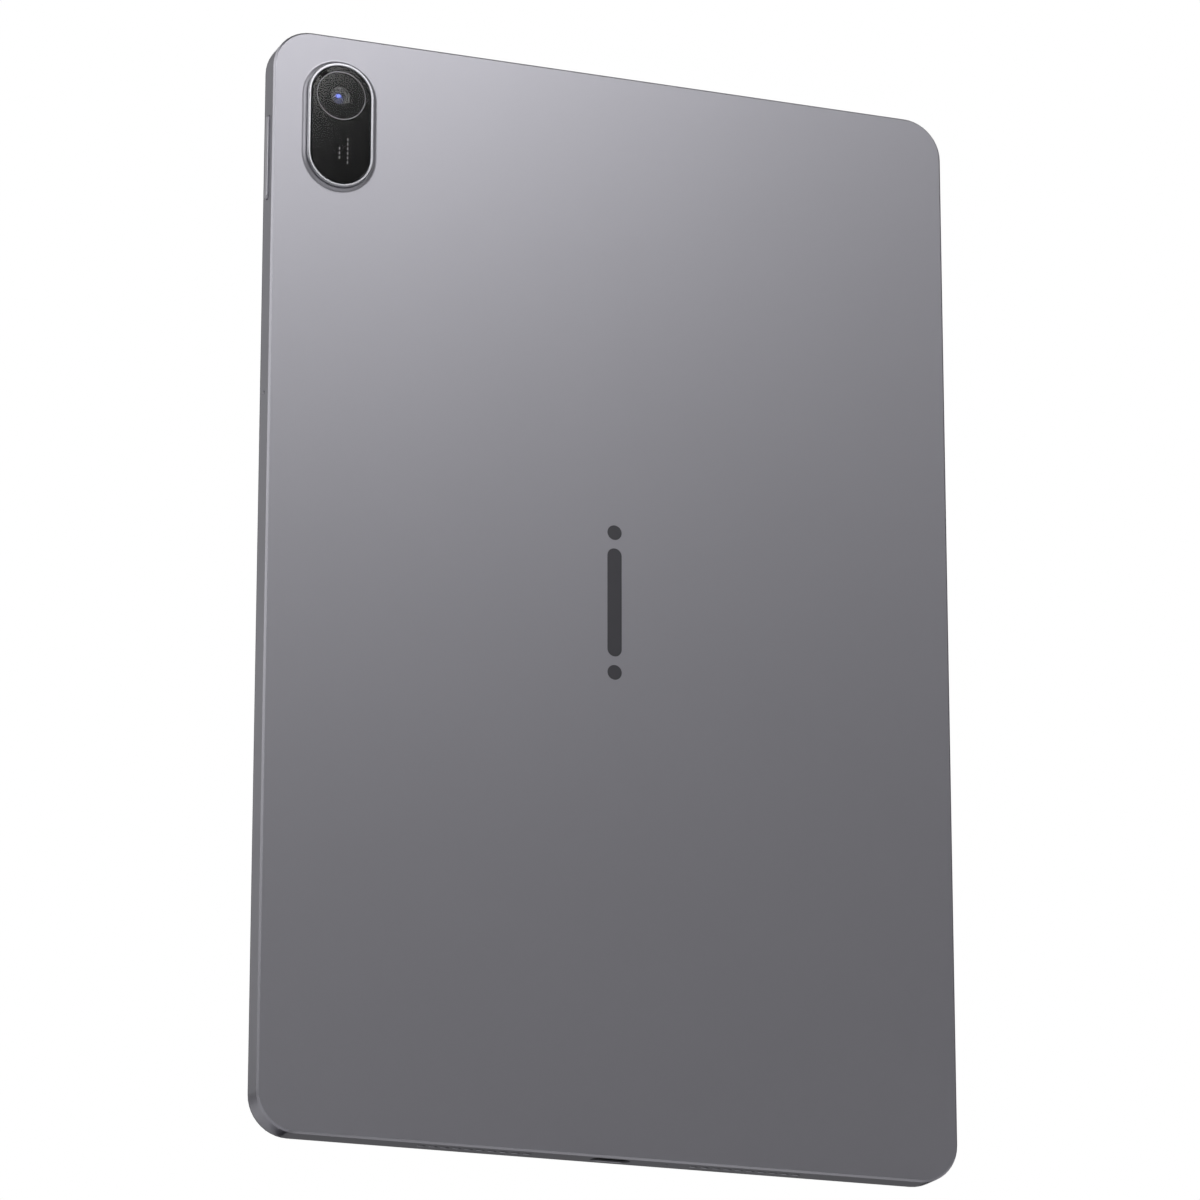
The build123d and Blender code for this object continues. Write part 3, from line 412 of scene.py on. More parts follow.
@dataclass(frozen=True)
class AnodisedFinish(Finish):
    """Blasted and dyed aluminium with a painted highlight along its outer edge: the base colour is brighter
    and the surface a touch smoother there.
    """

    half_width: float = 81.9
    half_height: float = 126.15
    corner_radius: float = 9.0
    band: float = 0.5
    edge_sheen_lift: float = 0.12

    def build(self) -> bpy.types.Material:
        """Build the finish.

        Returns:
            The material.
        """
        material, sheet, shader = self.sheet()
        grain = grain_node(sheet, self.run, self.grain_scale, self.mottle_scale)
        defaults = {"Half Width": 0.08, "Half Height": 0.126, "Corner Radius": 0.009, "Band": 0.0005}
        tree = shared_group("edge_band", defaults, ("Mask",), fill_edge_band)
        band = place_group(sheet, tree, {
            "Half Width": self.half_width * MM, "Half Height": self.half_height * MM,
            "Corner Radius": self.corner_radius * MM, "Band": self.band * MM})
        # Painted highlight: the base colour is lifted in the outer edge band, where the chamfer shows a
        # bright line of light.
        edge_sheen_color = [min(1.0, channel * (1.0 + self.edge_sheen_lift)) for channel in self.color]
        base = self.tint(sheet, grain.outputs["Mottle"])
        mask = sheet.times(band.outputs["Mask"], grain.outputs["Mottle"])
        sheet.feed(shader.inputs["Base Color"], sheet.blend_colors(mask, base, rgba(edge_sheen_color)))
        rough = sheet.spread(grain.outputs["Grain"], self.roughness - self.grain_roughness,
                             self.roughness + self.grain_roughness)
        # The same edge band is made a little smoother, which sharpens the painted highlight.
        sheet.feed(shader.inputs["Roughness"], sheet.math("SUBTRACT", rough, sheet.times(mask, EDGE_SHEEN_SMOOTHING)))
        self.relief(sheet, shader, grain.outputs["Grain"])
        return material


@dataclass(frozen=True)
class GlassFinish(Finish):
    """Polished glass with a faint wiped haze."""

    haze_scale: float = 18.0
    haze: float = 0.05

    def build(self) -> bpy.types.Material:
        """Build the finish.

        Returns:
            The material.
        """
        material, sheet, shader = self.sheet()
        tree = shared_group("glass_smudge", {"Scale": 20.0}, ("Haze",), fill_smudge)
        smudge = place_group(sheet, tree, {"Scale": self.haze_scale})
        sheet.feed(shader.inputs["Roughness"],
                   sheet.spread(smudge.outputs["Haze"], self.roughness, self.roughness + self.haze))
        return material


@dataclass(frozen=True)
class BoardFinish(Finish):
    """Solder mask over copper tracks and vias."""

    track_pitch: float = 1.1
    track_edge: float = 0.42
    via_edge: float = 0.12
    track_height: float = 0.6
    copper: tuple[float, float, float] = (0.09, 0.20, 0.12)
    via_color: tuple[float, float, float] = (0.55, 0.45, 0.22)

    def build(self) -> bpy.types.Material:
        """Build the finish.

        Returns:
            The material.
        """
        material, sheet, shader = self.sheet()
        place = sheet.place()
        cells = sheet.add("ShaderNodeTexVoronoi", {"Vector": place, "Scale": 1.0 / (self.track_pitch * MM)},
                          distance="CHEBYCHEV", feature="F1")
        tracks = sheet.math("GREATER_THAN", cells.outputs["Distance"], self.track_edge)
        vias = sheet.math("LESS_THAN", cells.outputs["Distance"], self.via_edge)
        grain = grain_node(sheet, self.run, self.grain_scale, self.mottle_scale)
        base = self.tint(sheet, grain.outputs["Mottle"])
        copper = sheet.blend_colors(tracks, base, rgba(self.copper))
        sheet.feed(shader.inputs["Base Color"], sheet.blend_colors(vias, copper, rgba(self.via_color)))
        height = sheet.math("ADD", sheet.times(tracks, self.track_height), grain.outputs["Grain"])
        self.relief(sheet, shader, height)
        return material


@dataclass(frozen=True)
class RibbonFinish(Finish):
    """Amber film with a row of fine conductors inside."""

    line_pitch: float = 0.35
    lines_per_scale: float = 0.314
    line_strength: float = 0.7
    copper: tuple[float, float, float] = (0.50, 0.26, 0.08)
    smoothest: float = 0.25
    roughest: float = 0.4

    def build(self) -> bpy.types.Material:
        """Build the finish.

        Returns:
            The material.
        """
        material, sheet, shader = self.sheet()
        place = sheet.place()
        lines = sheet.add("ShaderNodeTexWave", {
            "Vector": place, "Scale": self.lines_per_scale / (self.line_pitch * MM)}, bands_direction="X")
        grain = grain_node(sheet, self.run, self.grain_scale, self.mottle_scale)
        mask = sheet.times(lines.outputs["Fac"], self.line_strength)
        film = self.tint(sheet, grain.outputs["Mottle"])
        sheet.feed(shader.inputs["Base Color"], sheet.blend_colors(mask, film, rgba(self.copper)))
        sheet.feed(shader.inputs["Roughness"],
                   sheet.spread(grain.outputs["Grain"], self.smoothest, self.roughest))
        self.relief(sheet, shader, lines.outputs["Fac"])
        return material


@dataclass(frozen=True)
class PanelFinish(Finish):
    """Display that is switched off: near black, with a barely visible grid of cells."""

    cell_pitch: float = 0.12
    cells_per_brick: int = 4
    lit_share: float = 1.3
    gap_share: float = 0.5
    gap_width: float = 0.04
    smoothest: float = 0.12
    roughest: float = 0.2

    def build(self) -> bpy.types.Material:
        """Build the finish.

        Returns:
            The material.
        """
        material, sheet, shader = self.sheet()
        place = sheet.place()
        flat = sheet.add("ShaderNodeVectorRotate", {
            "Vector": place, "Angle": QUARTER_TURN}, rotation_type="X_AXIS")
        cells = sheet.add("ShaderNodeTexBrick", {
            "Vector": flat.outputs[0], "Color1": rgba(self.color),
            "Color2": rgba([channel * self.lit_share for channel in self.color]),
            "Mortar": rgba([channel * self.gap_share for channel in self.color]),
            "Scale": 1.0 / (self.cell_pitch * self.cells_per_brick * MM),
            "Mortar Size": self.gap_width, "Brick Width": 1.0, "Row Height": 1.0})
        sheet.feed(shader.inputs["Base Color"], cells.outputs["Color"])
        grain = grain_node(sheet, self.run, self.grain_scale, self.mottle_scale)
        sheet.feed(shader.inputs["Roughness"],
                   sheet.spread(grain.outputs["Mottle"], self.smoothest, self.roughest))
        return material


@dataclass(frozen=True)
class CoatedLensFinish(Finish):
    """Lens element whose coating turns from blue in the middle to violet at the rim."""

    rim_color: tuple[float, float, float] = (0.02, 0.03, 0.28)
    centre: tuple[float, float, float] = (66.3, 4.0, 237.6)
    radius: float = 1.6
    haze: float = 0.03

    def build(self) -> bpy.types.Material:
        """Build the finish.

        Returns:
            The material.
        """
        material, sheet, shader = self.sheet()
        place = sheet.place()
        middle = [value * MM for value in self.centre]
        away = sheet.add("ShaderNodeVectorMath", {0: place, 1: middle}, operation="DISTANCE")
        share = sheet.math("DIVIDE", away.outputs["Value"], self.radius * MM, clamp=True)
        sheet.feed(shader.inputs["Base Color"],
                   sheet.blend_colors(share, rgba(self.color), rgba(self.rim_color)))
        grain = grain_node(sheet, self.run, self.grain_scale, self.mottle_scale)
        sheet.feed(shader.inputs["Roughness"],
                   sheet.spread(grain.outputs["Mottle"], self.roughness, self.roughness + self.haze))
        return material


class Finishes:
    """Every finish of the tablet, built once and handed out by name."""

    def __init__(self) -> None:
        """Build the materials."""
        body_grey = (0.47, 0.464, 0.505)
        recipes: Iterable[Finish] = (
            AnodisedFinish("anodised_grey", body_grey, 0.42, 1.0, 9000.0, 0.0018, 0.05, 25.0, 0.015),
            # A lighter, smoother copy of the anodised grey for the keys, which share the body's finish: the
            # lift is a painted highlight.
            AnodisedFinish("keys_anodised_painted_highlight", (0.66, 0.655, 0.70), 0.36, 1.0, 9000.0, 0.0018, 0.05, 25.0, 0.015),
            Finish("turned_trim", (0.50, 0.50, 0.53), 0.27, 1.0, 14000.0, 0.0008, 0.04, 90.0, 0.03),
            Finish("lens_ring", (0.42, 0.42, 0.44), 0.25, 1.0, 14000.0, 0.0005, 0.04, 300.0, 0.03),
            Finish("emblem_inlay", (0.112, 0.110, 0.122), 0.36, 0.6, 9000.0, 0.0015, 0.05, 200.0, 0.05),
            Finish("frame_polymer", (0.28, 0.28, 0.30), 0.5, 0.0, 6000.0, 0.004, 0.08, 120.0, 0.05),
            GlassFinish("front_glass", (0.98, 0.99, 0.99), 0.01, transmission=1.0, ior=1.5),
            GlassFinish("camera_cover_glass", (0.97, 0.98, 0.99), 0.1, transmission=1.0, ior=1.5,
                        haze_scale=120.0, haze=0.03),
            Finish("black_print", (0.006, 0.006, 0.007), 0.35, grain_height=0.001, mottle_scale=300.0),
            Finish("lens_barrel", (0.006, 0.006, 0.007), 0.5, grain_height=0.002, specular=0.15),
            Finish("camera_print", (0.003, 0.003, 0.0035), 0.9, grain_height=0.001, specular=0.0),
            CoatedLensFinish("coated_lens", (0.05, 0.20, 0.95), 0.16, 0.85, coat=1.0, coat_roughness=0.03),
            Finish("foam_gasket", (0.02, 0.02, 0.02), 0.85, grain_scale=3000.0, grain_height=0.05),
            Finish("bonding_film", (0.03, 0.03, 0.032), 0.4, grain_scale=1500.0, grain_height=0.01),
            Finish("touch_film", (0.012, 0.0125, 0.015), 0.3, grain_height=0.001, specular=0.2),
            PanelFinish("panel_off", (0.010, 0.0105, 0.013), 0.15),
            Finish("light_guide", (0.86, 0.87, 0.88), 0.35, grain_scale=2500.0, grain_height=0.004, coat=0.3),
            Finish("rolled_steel", (0.50, 0.50, 0.51), 0.33, 1.0, 6000.0, 0.002, 0.08, 70.0, 0.06,
                   GrainRun.ALONG_Z),
            Finish("graphite", (0.045, 0.045, 0.05), 0.42, 0.5, 4000.0, 0.006, 0.1, 40.0, 0.15,
                   GrainRun.ALONG_X),
            RibbonFinish("flex_amber", (0.30, 0.13, 0.03), 0.3, coat=0.4),
            Finish("moulded_black", (0.018, 0.018, 0.02), 0.45, grain_scale=5000.0, grain_height=0.004),
            BoardFinish("solder_mask", (0.012, 0.055, 0.035), 0.28, coat=0.5, grain_height=0.01),
            Finish("chip_epoxy", (0.02, 0.02, 0.022), 0.55, grain_scale=8000.0, grain_height=0.004),
            Finish("nickel_sheet", (0.66, 0.64, 0.60), 0.28, 1.0, 5000.0, 0.002, 0.06, 80.0, 0.05,
                   GrainRun.ALONG_X),
            Finish("connector_cream", (0.55, 0.50, 0.40), 0.5, grain_height=0.003),
            Finish("foil_pouch", (0.52, 0.53, 0.55), 0.32, 1.0, 700.0, 0.02, 0.08, 30.0, 0.05),
            Finish("port_steel", (0.46, 0.46, 0.47), 0.25, 1.0, 9000.0, 0.001, 0.06, 200.0, 0.06,
                   GrainRun.ALONG_Z),
            Finish("port_tongue", (0.02, 0.02, 0.022), 0.42, grain_scale=9000.0, grain_height=0.002),
            Finish("contact_gold", (0.78, 0.55, 0.22), 0.2, 1.0, 9000.0, 0.001),
            Finish("speaker_case", (0.022, 0.022, 0.025), 0.5, grain_scale=3500.0, grain_height=0.006),
            Finish("cone_film", (0.05, 0.05, 0.055), 0.35, grain_scale=2500.0, grain_height=0.004, coat=0.2),
            Finish("mesh_wire", (0.035, 0.035, 0.037), 0.45, 0.6, 9000.0, 0.001),
            Finish("antenna_grey", (0.14, 0.14, 0.15), 0.5, grain_height=0.005),
            Finish("screw_zinc", (0.20, 0.20, 0.21), 0.3, 1.0, 9000.0, 0.001),
            Finish("plunger_white", (0.74, 0.74, 0.72), 0.45, grain_height=0.002),
            Finish("solder_tin", (0.60, 0.60, 0.60), 0.25, 1.0, 9000.0, 0.002),
            Finish("ceramic_tan", (0.42, 0.33, 0.22), 0.5, grain_scale=9000.0, grain_height=0.002),
            Finish("pale_marking", (0.42, 0.42, 0.43), 0.4, grain_height=0.001),
            Finish("label_white", (0.70, 0.70, 0.70), 0.45, grain_scale=1500.0, grain_height=0.004),
        )
        self.by_name = {recipe.name: recipe.build() for recipe in recipes}

    def dress(self, piece: bpy.types.Object, name: str) -> None:
        """Give every material slot of a piece one finish.

        Args:
            piece: The object to dress.
            name: The finish's name.
        """
        material = self.by_name[name]
        if not piece.material_slots:
            piece.data.materials.append(material)
        for slot in piece.material_slots:
            slot.material = material


# ------------------------------------------------------------ mesh helpers


def link_piece(label: str, mesh: bpy.types.Mesh) -> bpy.types.Object:
    """Make an object of a mesh and put it in the scene.

    Args:
        label: The object's name.
        mesh: Its mesh, already in place.

    Returns:
        The object.
    """
    piece = bpy.data.objects.new(label, mesh)
    bpy.context.scene.collection.objects.link(piece)
    return piece


def piece_from(work: bmesh.types.BMesh, label: str) -> bpy.types.Object:
    """Turn working geometry into a piece in the scene, and free it.

    Args:
        work: The geometry, already in place.
        label: The piece's name.

    Returns:
        The piece.
    """
    mesh = bpy.data.meshes.new(label)
    work.to_mesh(mesh)
    work.free()
    return link_piece(label, mesh)


def welded_copy(node: str) -> bmesh.types.BMesh:
    """Return a CAD node's triangles as working geometry, joined where they meet."""
    work = bmesh.new()
    work.from_mesh(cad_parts[node].data)
    bmesh.ops.remove_doubles(work, verts=work.verts, dist=WELD_DISTANCE)
    return work


def bake_modifiers(piece: bpy.types.Object) -> None:
    """Turn a piece and its modifiers into a plain mesh.

    Args:
        piece: The object, which keeps its name.
    """
    graph = bpy.context.evaluated_depsgraph_get()
    mesh = bpy.data.meshes.new_from_object(piece.evaluated_get(graph), depsgraph=graph)
    piece.modifiers.clear()
    piece.data = mesh


def weigh_normals(piece: bpy.types.Object, sharp_angle: float) -> None:
    """Shade a piece smooth, with crisp edges and flat faces that stay flat.

    Args:
        piece: The object to shade.
        sharp_angle: Edges sharper than this many degrees stay crisp.
    """
    mesh = piece.data
    mesh.polygons.foreach_set("use_smooth", [True] * len(mesh.polygons))
    mesh.set_sharp_from_angle(angle=math.radians(sharp_angle))
    modifier = piece.modifiers.new("weighted", "WEIGHTED_NORMAL")
    modifier.keep_sharp = True
    modifier.weight = 100
    bake_modifiers(piece)


def refined_node(node: str, label: str, sharp_angle: float = 26.0) -> bpy.types.Object:
    """Copy a CAD node as one joined, smoothly shaded mesh, and let the copy stand for it.

    Args:
        node: The CAD node's name.
        label: The copy's name.
        sharp_angle: Edges sharper than this many degrees stay crisp.

    Returns:
        The copy.
    """
    work = welded_copy(node)
    bmesh.ops.dissolve_limit(work, angle_limit=math.radians(FLAT_ANGLE), verts=work.verts, edges=work.edges)
    piece = piece_from(work, label)
    weigh_normals(piece, sharp_angle)
    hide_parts(node)
    return piece


def seat(piece: bpy.types.Object, body: str) -> bpy.types.Object:
    """Let a piece ride on a body.

    Args:
        piece: The object.
        body: The CAD body's name.

    Returns:
        The same object.
    """
    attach(piece, body)
    return piece


def turned_piece(label: str, profile: Sequence[tuple[float, float]], centre: Vector,
                 steps: int = 72) -> bpy.types.Object:
    """Turn a profile about an axis along +Y.

    Args:
        label: The piece's name.
        profile: (radius, depth) points in mm, closed on itself or from axis to axis.
        centre: A point on the axis, in metres.
        steps: Facets around.

    Returns:
        The turned piece.
    """
    work = bmesh.new()
    rings: list[list[bmesh.types.BMVert]] = []
    for radius, depth in profile:
        if radius == 0.0:
            rings.append([work.verts.new((centre.x, depth * MM, centre.z))])
            continue
        ring = []
        for step in range(steps):
            turn = 2.0 * math.pi * step / steps
            across, up = radius * MM * math.cos(turn), radius * MM * math.sin(turn)
            ring.append(work.verts.new((centre.x + across, depth * MM, centre.z + up)))
        rings.append(ring)
    open_ended = len(rings[0]) == 1
    pairs = list(zip(rings, rings[1:])) if open_ended else list(zip(rings, rings[1:] + rings[:1]))
    for first, second in pairs:
        for step in range(steps):
            after = (step + 1) % steps
            if len(first) == 1:
                work.faces.new((first[0], second[after], second[step]))
            elif len(second) == 1:
                work.faces.new((first[step], first[after], second[0]))
            else:
                work.faces.new((first[step], first[after], second[after], second[step]))
    bmesh.ops.recalc_face_normals(work, faces=work.faces)
    piece = piece_from(work, label)
    weigh_normals(piece, TURNED_CREASE_ANGLE)
    return piece


# ------------------------------------------------------------ geometry nodes


class RepeatTree:
    """A Geometry Nodes tree with named inputs that ends in Realize Instances and Set Material."""

    def __init__(self, name: str, sizes: dict[str, float], counts: dict[str, int] | None = None) -> None:
        """Start the tree.

        Args:
            name: The tree's name.
            sizes: Float inputs and their values, in metres.
            counts: Whole-number inputs and their values.
        """
        self.tree = bpy.data.node_groups.new(name, "GeometryNodeTree")
        self.values: dict[str, float] = {}
        face = self.tree.interface
        face.new_socket("Geometry", in_out="INPUT", socket_type="NodeSocketGeometry")
        for kind, group in (("NodeSocketFloat", sizes), ("NodeSocketInt", counts or {})):
            for label, value in group.items():
                socket = face.new_socket(label, in_out="INPUT", socket_type=kind)
                self.values[socket.identifier] = value
        face.new_socket("Geometry", in_out="OUTPUT", socket_type="NodeSocketGeometry")
        self.sheet = NodeSheet(self.tree)
        self.source = self.sheet.add("NodeGroupInput")
        self.result = self.sheet.add("NodeGroupOutput")

    def size(self, label: str) -> bpy.types.NodeSocket:
        """Return one named input's socket."""
        return self.source.outputs[label]

    def vector(self, x: object = 0.0, y: object = 0.0, z: object = 0.0) -> bpy.types.NodeSocket:
        """Join three values into a vector's socket."""
        return self.sheet.add("ShaderNodeCombineXYZ", {"X": x, "Y": y, "Z": z}).outputs[0]

    def finish(self, parts: Sequence[bpy.types.NodeSocket], material: bpy.types.Material) -> None:
        """Join the parts, realise them and set their material.

        Args:
            parts: Geometry sockets.
            material: The finish of the whole piece.
        """
        real = self.sheet.add("GeometryNodeRealizeInstances", {0: self.sheet.join(*parts)})
        dressed = self.sheet.add("GeometryNodeSetMaterial", {
            "Geometry": real.outputs[0], "Material": material})
        self.sheet.feed(self.result.inputs[0], dressed.outputs[0])

    def make(self, label: str, start: bpy.types.Mesh | None = None) -> bpy.types.Object:
        """Run the tree and keep its result as a plain mesh.

        Args:
            label: The piece's name.
            start: Points or a mesh that the tree works on.

        Returns:
            The finished piece.
        """
        piece = link_piece(label, start or bpy.data.meshes.new(label))
        modifier = piece.modifiers.new("repeat", "NODES")
        modifier.node_group = self.tree
        for identifier, value in self.values.items():
            modifier[identifier] = value
        bake_modifiers(piece)
        return piece


def point_mesh(label: str, points: Iterable[Sequence[float]]) -> bpy.types.Mesh:
    """Make a mesh of loose points.

    Args:
        label: The mesh's name.
        points: Places in metres.

    Returns:
        The mesh.
    """
    mesh = bpy.data.meshes.new(label)
    mesh.from_pydata([tuple(point) for point in points], [], [])
    return mesh


# ------------------------------------------------------------ sub-assemblies


@dataclass
class Assembly:
    """One group of pieces that share the tablet's finishes."""

    finishes: Finishes

    def refine(self, node: str, label: str, finish: str, slot: str, body: str = TABLET,
               sharp_angle: float = 26.0) -> bpy.types.Object:
        """Replace a CAD node by a smoothly shaded, dressed copy.

        Args:
            node: The CAD node's name.
            label: The copy's name.
            finish: The copy's finish.
            slot: The record's material slot; not used.
            body: The CAD body that it rides on.
            sharp_angle: Edges sharper than this many degrees stay crisp.

        Returns:
            The copy.
        """
        piece = refined_node(node, label, sharp_angle)
        self.finishes.dress(piece, finish)
        return seat(piece, body)

    def dress_nodes(self, plain: dict[str, str]) -> None:
        """Give each CAD node that stays as it is the finish named beside it."""
        for node, finish in plain.items():
            self.finishes.dress(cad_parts[node], finish)


@dataclass
class Housing(Assembly):
    """Metal back and sides, the inlaid emblem, the moulded front frame and the antennas."""

    sharp_angle: float = 24.0

    def build(self) -> list[bpy.types.Object]:
        """Build and dress the housing.

        Returns:
            The pieces made.
        """
        self.dress_nodes({"antennas": "antenna_grey"})
        return [
            self.refine("rear_housing", "shell_housing", "anodised_grey", "anodised_grey",
                        sharp_angle=self.sharp_angle),
            self.refine("back_emblem", "shell_emblem", "emblem_inlay", "emblem_ink"),
            self.refine("front_frame", "shell_front_frame", "frame_polymer", "frame_polymer",
                        sharp_angle=self.sharp_angle),
        ]


@dataclass
class Display(Assembly):
    """Cover glass and the layers bonded behind it."""

    def build(self) -> list[bpy.types.Object]:
        """Build and dress the display.

        Returns:
            The pieces made.
        """
        self.dress_nodes({
            "glass_print": "black_print", "display_adhesive": "bonding_film", "touch_sensor": "touch_film",
            "lcd_panel": "panel_off", "backlight_unit": "light_guide", "display_tray": "rolled_steel",
            "graphite_sheet": "graphite", "display_flex": "flex_amber", "front_camera": "moulded_black",
            "light_sensor": "moulded_black",
        })
        return [self.refine("cover_glass", "display_cover_glass", "front_glass", "front_glass")]


@dataclass
class CameraIsland(Assembly):
    """Trim ring, cover glass, lens and the small marks on the glass."""

    ring_width: float = 0.22
    ring_steps: int = 128
    arch_steps: int = 10
    dome_steps: int = 12
    dome_share: float = 0.7
    mark_sink: float = 0.25
    mark_length: float = 0.55
    mark_width: float = 0.22
    mark_height: float = 0.02
    mark_pitch: float = 1.1

    def build(self) -> list[bpy.types.Object]:
        """Build and dress the island.

        Returns:
            The pieces made.
        """
        trim = self.refine("camera_trim_ring", "island_trim_ring", "turned_trim", "trim_metal")
        glass = self.refine("camera_glass", "island_glass", "camera_cover_glass", "camera_glass")
        self.dress_nodes({
            "camera_mask": "camera_print", "camera_gasket": "foam_gasket", "camera_barrel": "lens_barrel",
            "camera_module": "nickel_sheet", "camera_flex": "flex_amber",
        })
        return [trim, glass, self.ring(), self.lens(), *self.marks()]

    def ring(self) -> bpy.types.Object:
        """Build the thin ring around the lens with a rounded crown.

        Returns:
            The ring.
        """
        low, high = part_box("camera_lens_ring")
        outer = (high.x - low.x) / 2 / MM
        base, crown = low.y / MM, high.y / MM
        middle, half = outer - self.ring_width / 2, self.ring_width / 2
        arch = [(middle + half * math.cos(turn), crown - half * (1.0 - math.sin(turn)))
                for turn in (math.pi * step / self.arch_steps for step in range(self.arch_steps + 1))]
        piece = turned_piece("island_lens_ring", [(outer, base), *arch, (outer - self.ring_width, base)],
                             (low + high) / 2, self.ring_steps)
        self.finishes.dress(piece, "lens_ring")
        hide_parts("camera_lens_ring")
        return seat(piece, TABLET)

    def lens(self) -> bpy.types.Object:
        """Build the front lens element as a domed, coated disc.

        Returns:
            The lens.
        """
        low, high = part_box("camera_lens")
        centre = (low + high) / 2
        radius = (high.x - low.x) / 2 / MM
        base, crown = low.y / MM, high.y / MM
        rise = (crown - base) * self.dome_share
        dome = [(radius * math.sin(turn), crown - rise * (1.0 - math.cos(turn)))
                for turn in (QUARTER_TURN * step / self.dome_steps for step in range(self.dome_steps + 1))]
        profile = [(0.0, crown), *dome[1:], (radius, base), (0.0, base)]
        piece = turned_piece("island_lens", profile, centre)
        self.finishes.dress(piece, "coated_lens")
        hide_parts("camera_lens")
        return seat(piece, TABLET)

    def marks(self) -> list[bpy.types.Object]:
        """Build two rows of small plain ticks on the glass, one short and one long.

        Returns:
            The rows.
        """
        low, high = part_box("camera_glass")
        material = self.finishes.by_name["pale_marking"]
        rows = []
        for label, across, start, count in (("short", 0.48, 0.215, 3), ("long", 0.62, 0.18, 6)):
            repeat = RepeatTree(f"mark_row_{label}", {
                "Length": self.mark_length * MM, "Width": self.mark_width * MM,
                "Height": self.mark_height * MM, "Pitch": self.mark_pitch * MM}, {"Count": count})
            sheet = repeat.sheet
            line = sheet.add("GeometryNodeMeshLine", {
                "Count": repeat.size("Count"),
                "Offset": repeat.vector(z=repeat.size("Pitch"))}, mode="OFFSET")
            tick = sheet.add("GeometryNodeMeshCube", {
                "Size": repeat.vector(repeat.size("Width"), repeat.size("Height"), repeat.size("Length"))})
            placed = sheet.add("GeometryNodeInstanceOnPoints", {
                "Points": line.outputs[0], "Instance": tick.outputs[0]})
            corner = Vector((
                high.x - (high.x - low.x) * across, high.y - self.mark_sink * self.mark_height * MM,
                low.z + (high.z - low.z) * start))
            moved = sheet.add("GeometryNodeTransform", {"Geometry": placed.outputs[0], "Translation": corner})
            repeat.finish([moved.outputs[0]], material)
            rows.append(seat(repeat.make(f"island_marks_{label}"), TABLET))
        return rows


@dataclass
class Keys(Assembly):
    """Volume rocker, power button and the switches behind them."""

    def build(self) -> list[bpy.types.Object]:
        """Build and dress the keys.

        Returns:
            The pieces made.
        """
        self.dress_nodes({
            "volume_switches": "connector_cream", "power_switch": "connector_cream",
            "volume_plunger_lower": "plunger_white", "volume_plunger_upper": "plunger_white",
            "power_plunger": "plunger_white", "volume_flex": "flex_amber", "power_flex": "flex_amber",
            "volume_bracket": "rolled_steel", "power_bracket": "rolled_steel",
        })
        return [
            # The keys wear a lighter copy of the anodised grey, a painted highlight, not a finish of their
            # own.
            self.refine("volume_rocker", "key_volume", "keys_anodised_painted_highlight", "anodised_grey", "volume_key"),
            self.refine("power_button", "key_power", "keys_anodised_painted_highlight", "anodised_grey", "power_key"),
        ]


@dataclass
class Port(Assembly):
    """USB-C shell and tongue, with a row of contacts on each face of the tongue."""

    contacts: int = 12
    contact_width: float = 0.24
    contact_length: float = 3.2
    contact_height: float = 0.03
    contact_pitch: float = 0.5
    tongue_half: float = 0.35
    tongue_root: float = 0.45

    def build(self) -> list[bpy.types.Object]:
        """Build and dress the port.

        Returns:
            The pieces made.
        """
        return [
            self.refine("usb_c_shell", "port_shell", "port_steel", "port_steel"),
            self.refine("usb_c_tongue", "port_tongue", "port_tongue", "port_black"),
            self.contact_rows(),
        ]

    def contact_rows(self) -> bpy.types.Object:
        """Build the gold contacts on both faces of the tongue.

        Returns:
            The contacts, as one piece.
        """
        low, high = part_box("usb_c_tongue")
        middle = (low + high) / 2
        half_tongue = self.tongue_half * MM
        repeat = RepeatTree("port_contact_row", {
            "Width": self.contact_width * MM, "Length": self.contact_length * MM,
            "Height": self.contact_height * MM, "Pitch": self.contact_pitch * MM}, {"Count": self.contacts})
        sheet = repeat.sheet
        line = sheet.add("GeometryNodeMeshLine", {
            "Count": repeat.size("Count"), "Offset": repeat.vector(x=repeat.size("Pitch"))}, mode="OFFSET")
        blade = sheet.add("GeometryNodeMeshCube", {
            "Size": repeat.vector(repeat.size("Width"), repeat.size("Height"), repeat.size("Length"))})
        placed = sheet.add("GeometryNodeInstanceOnPoints", {
            "Points": line.outputs[0], "Instance": blade.outputs[0]})
        start_x = -self.contact_pitch * MM * (self.contacts - 1) / 2
        base_z = low.z + (self.tongue_root + self.contact_length / 2) * MM
        faces = []
        for direction in (-1, 1):
            moved = sheet.add("GeometryNodeTransform", {
                "Geometry": placed.outputs[0],
                "Translation": Vector((start_x, middle.y + direction * half_tongue, base_z))})
            faces.append(moved.outputs[0])
        repeat.finish(faces, self.finishes.by_name["contact_gold"])
        return seat(repeat.make("port_contacts"), TABLET)


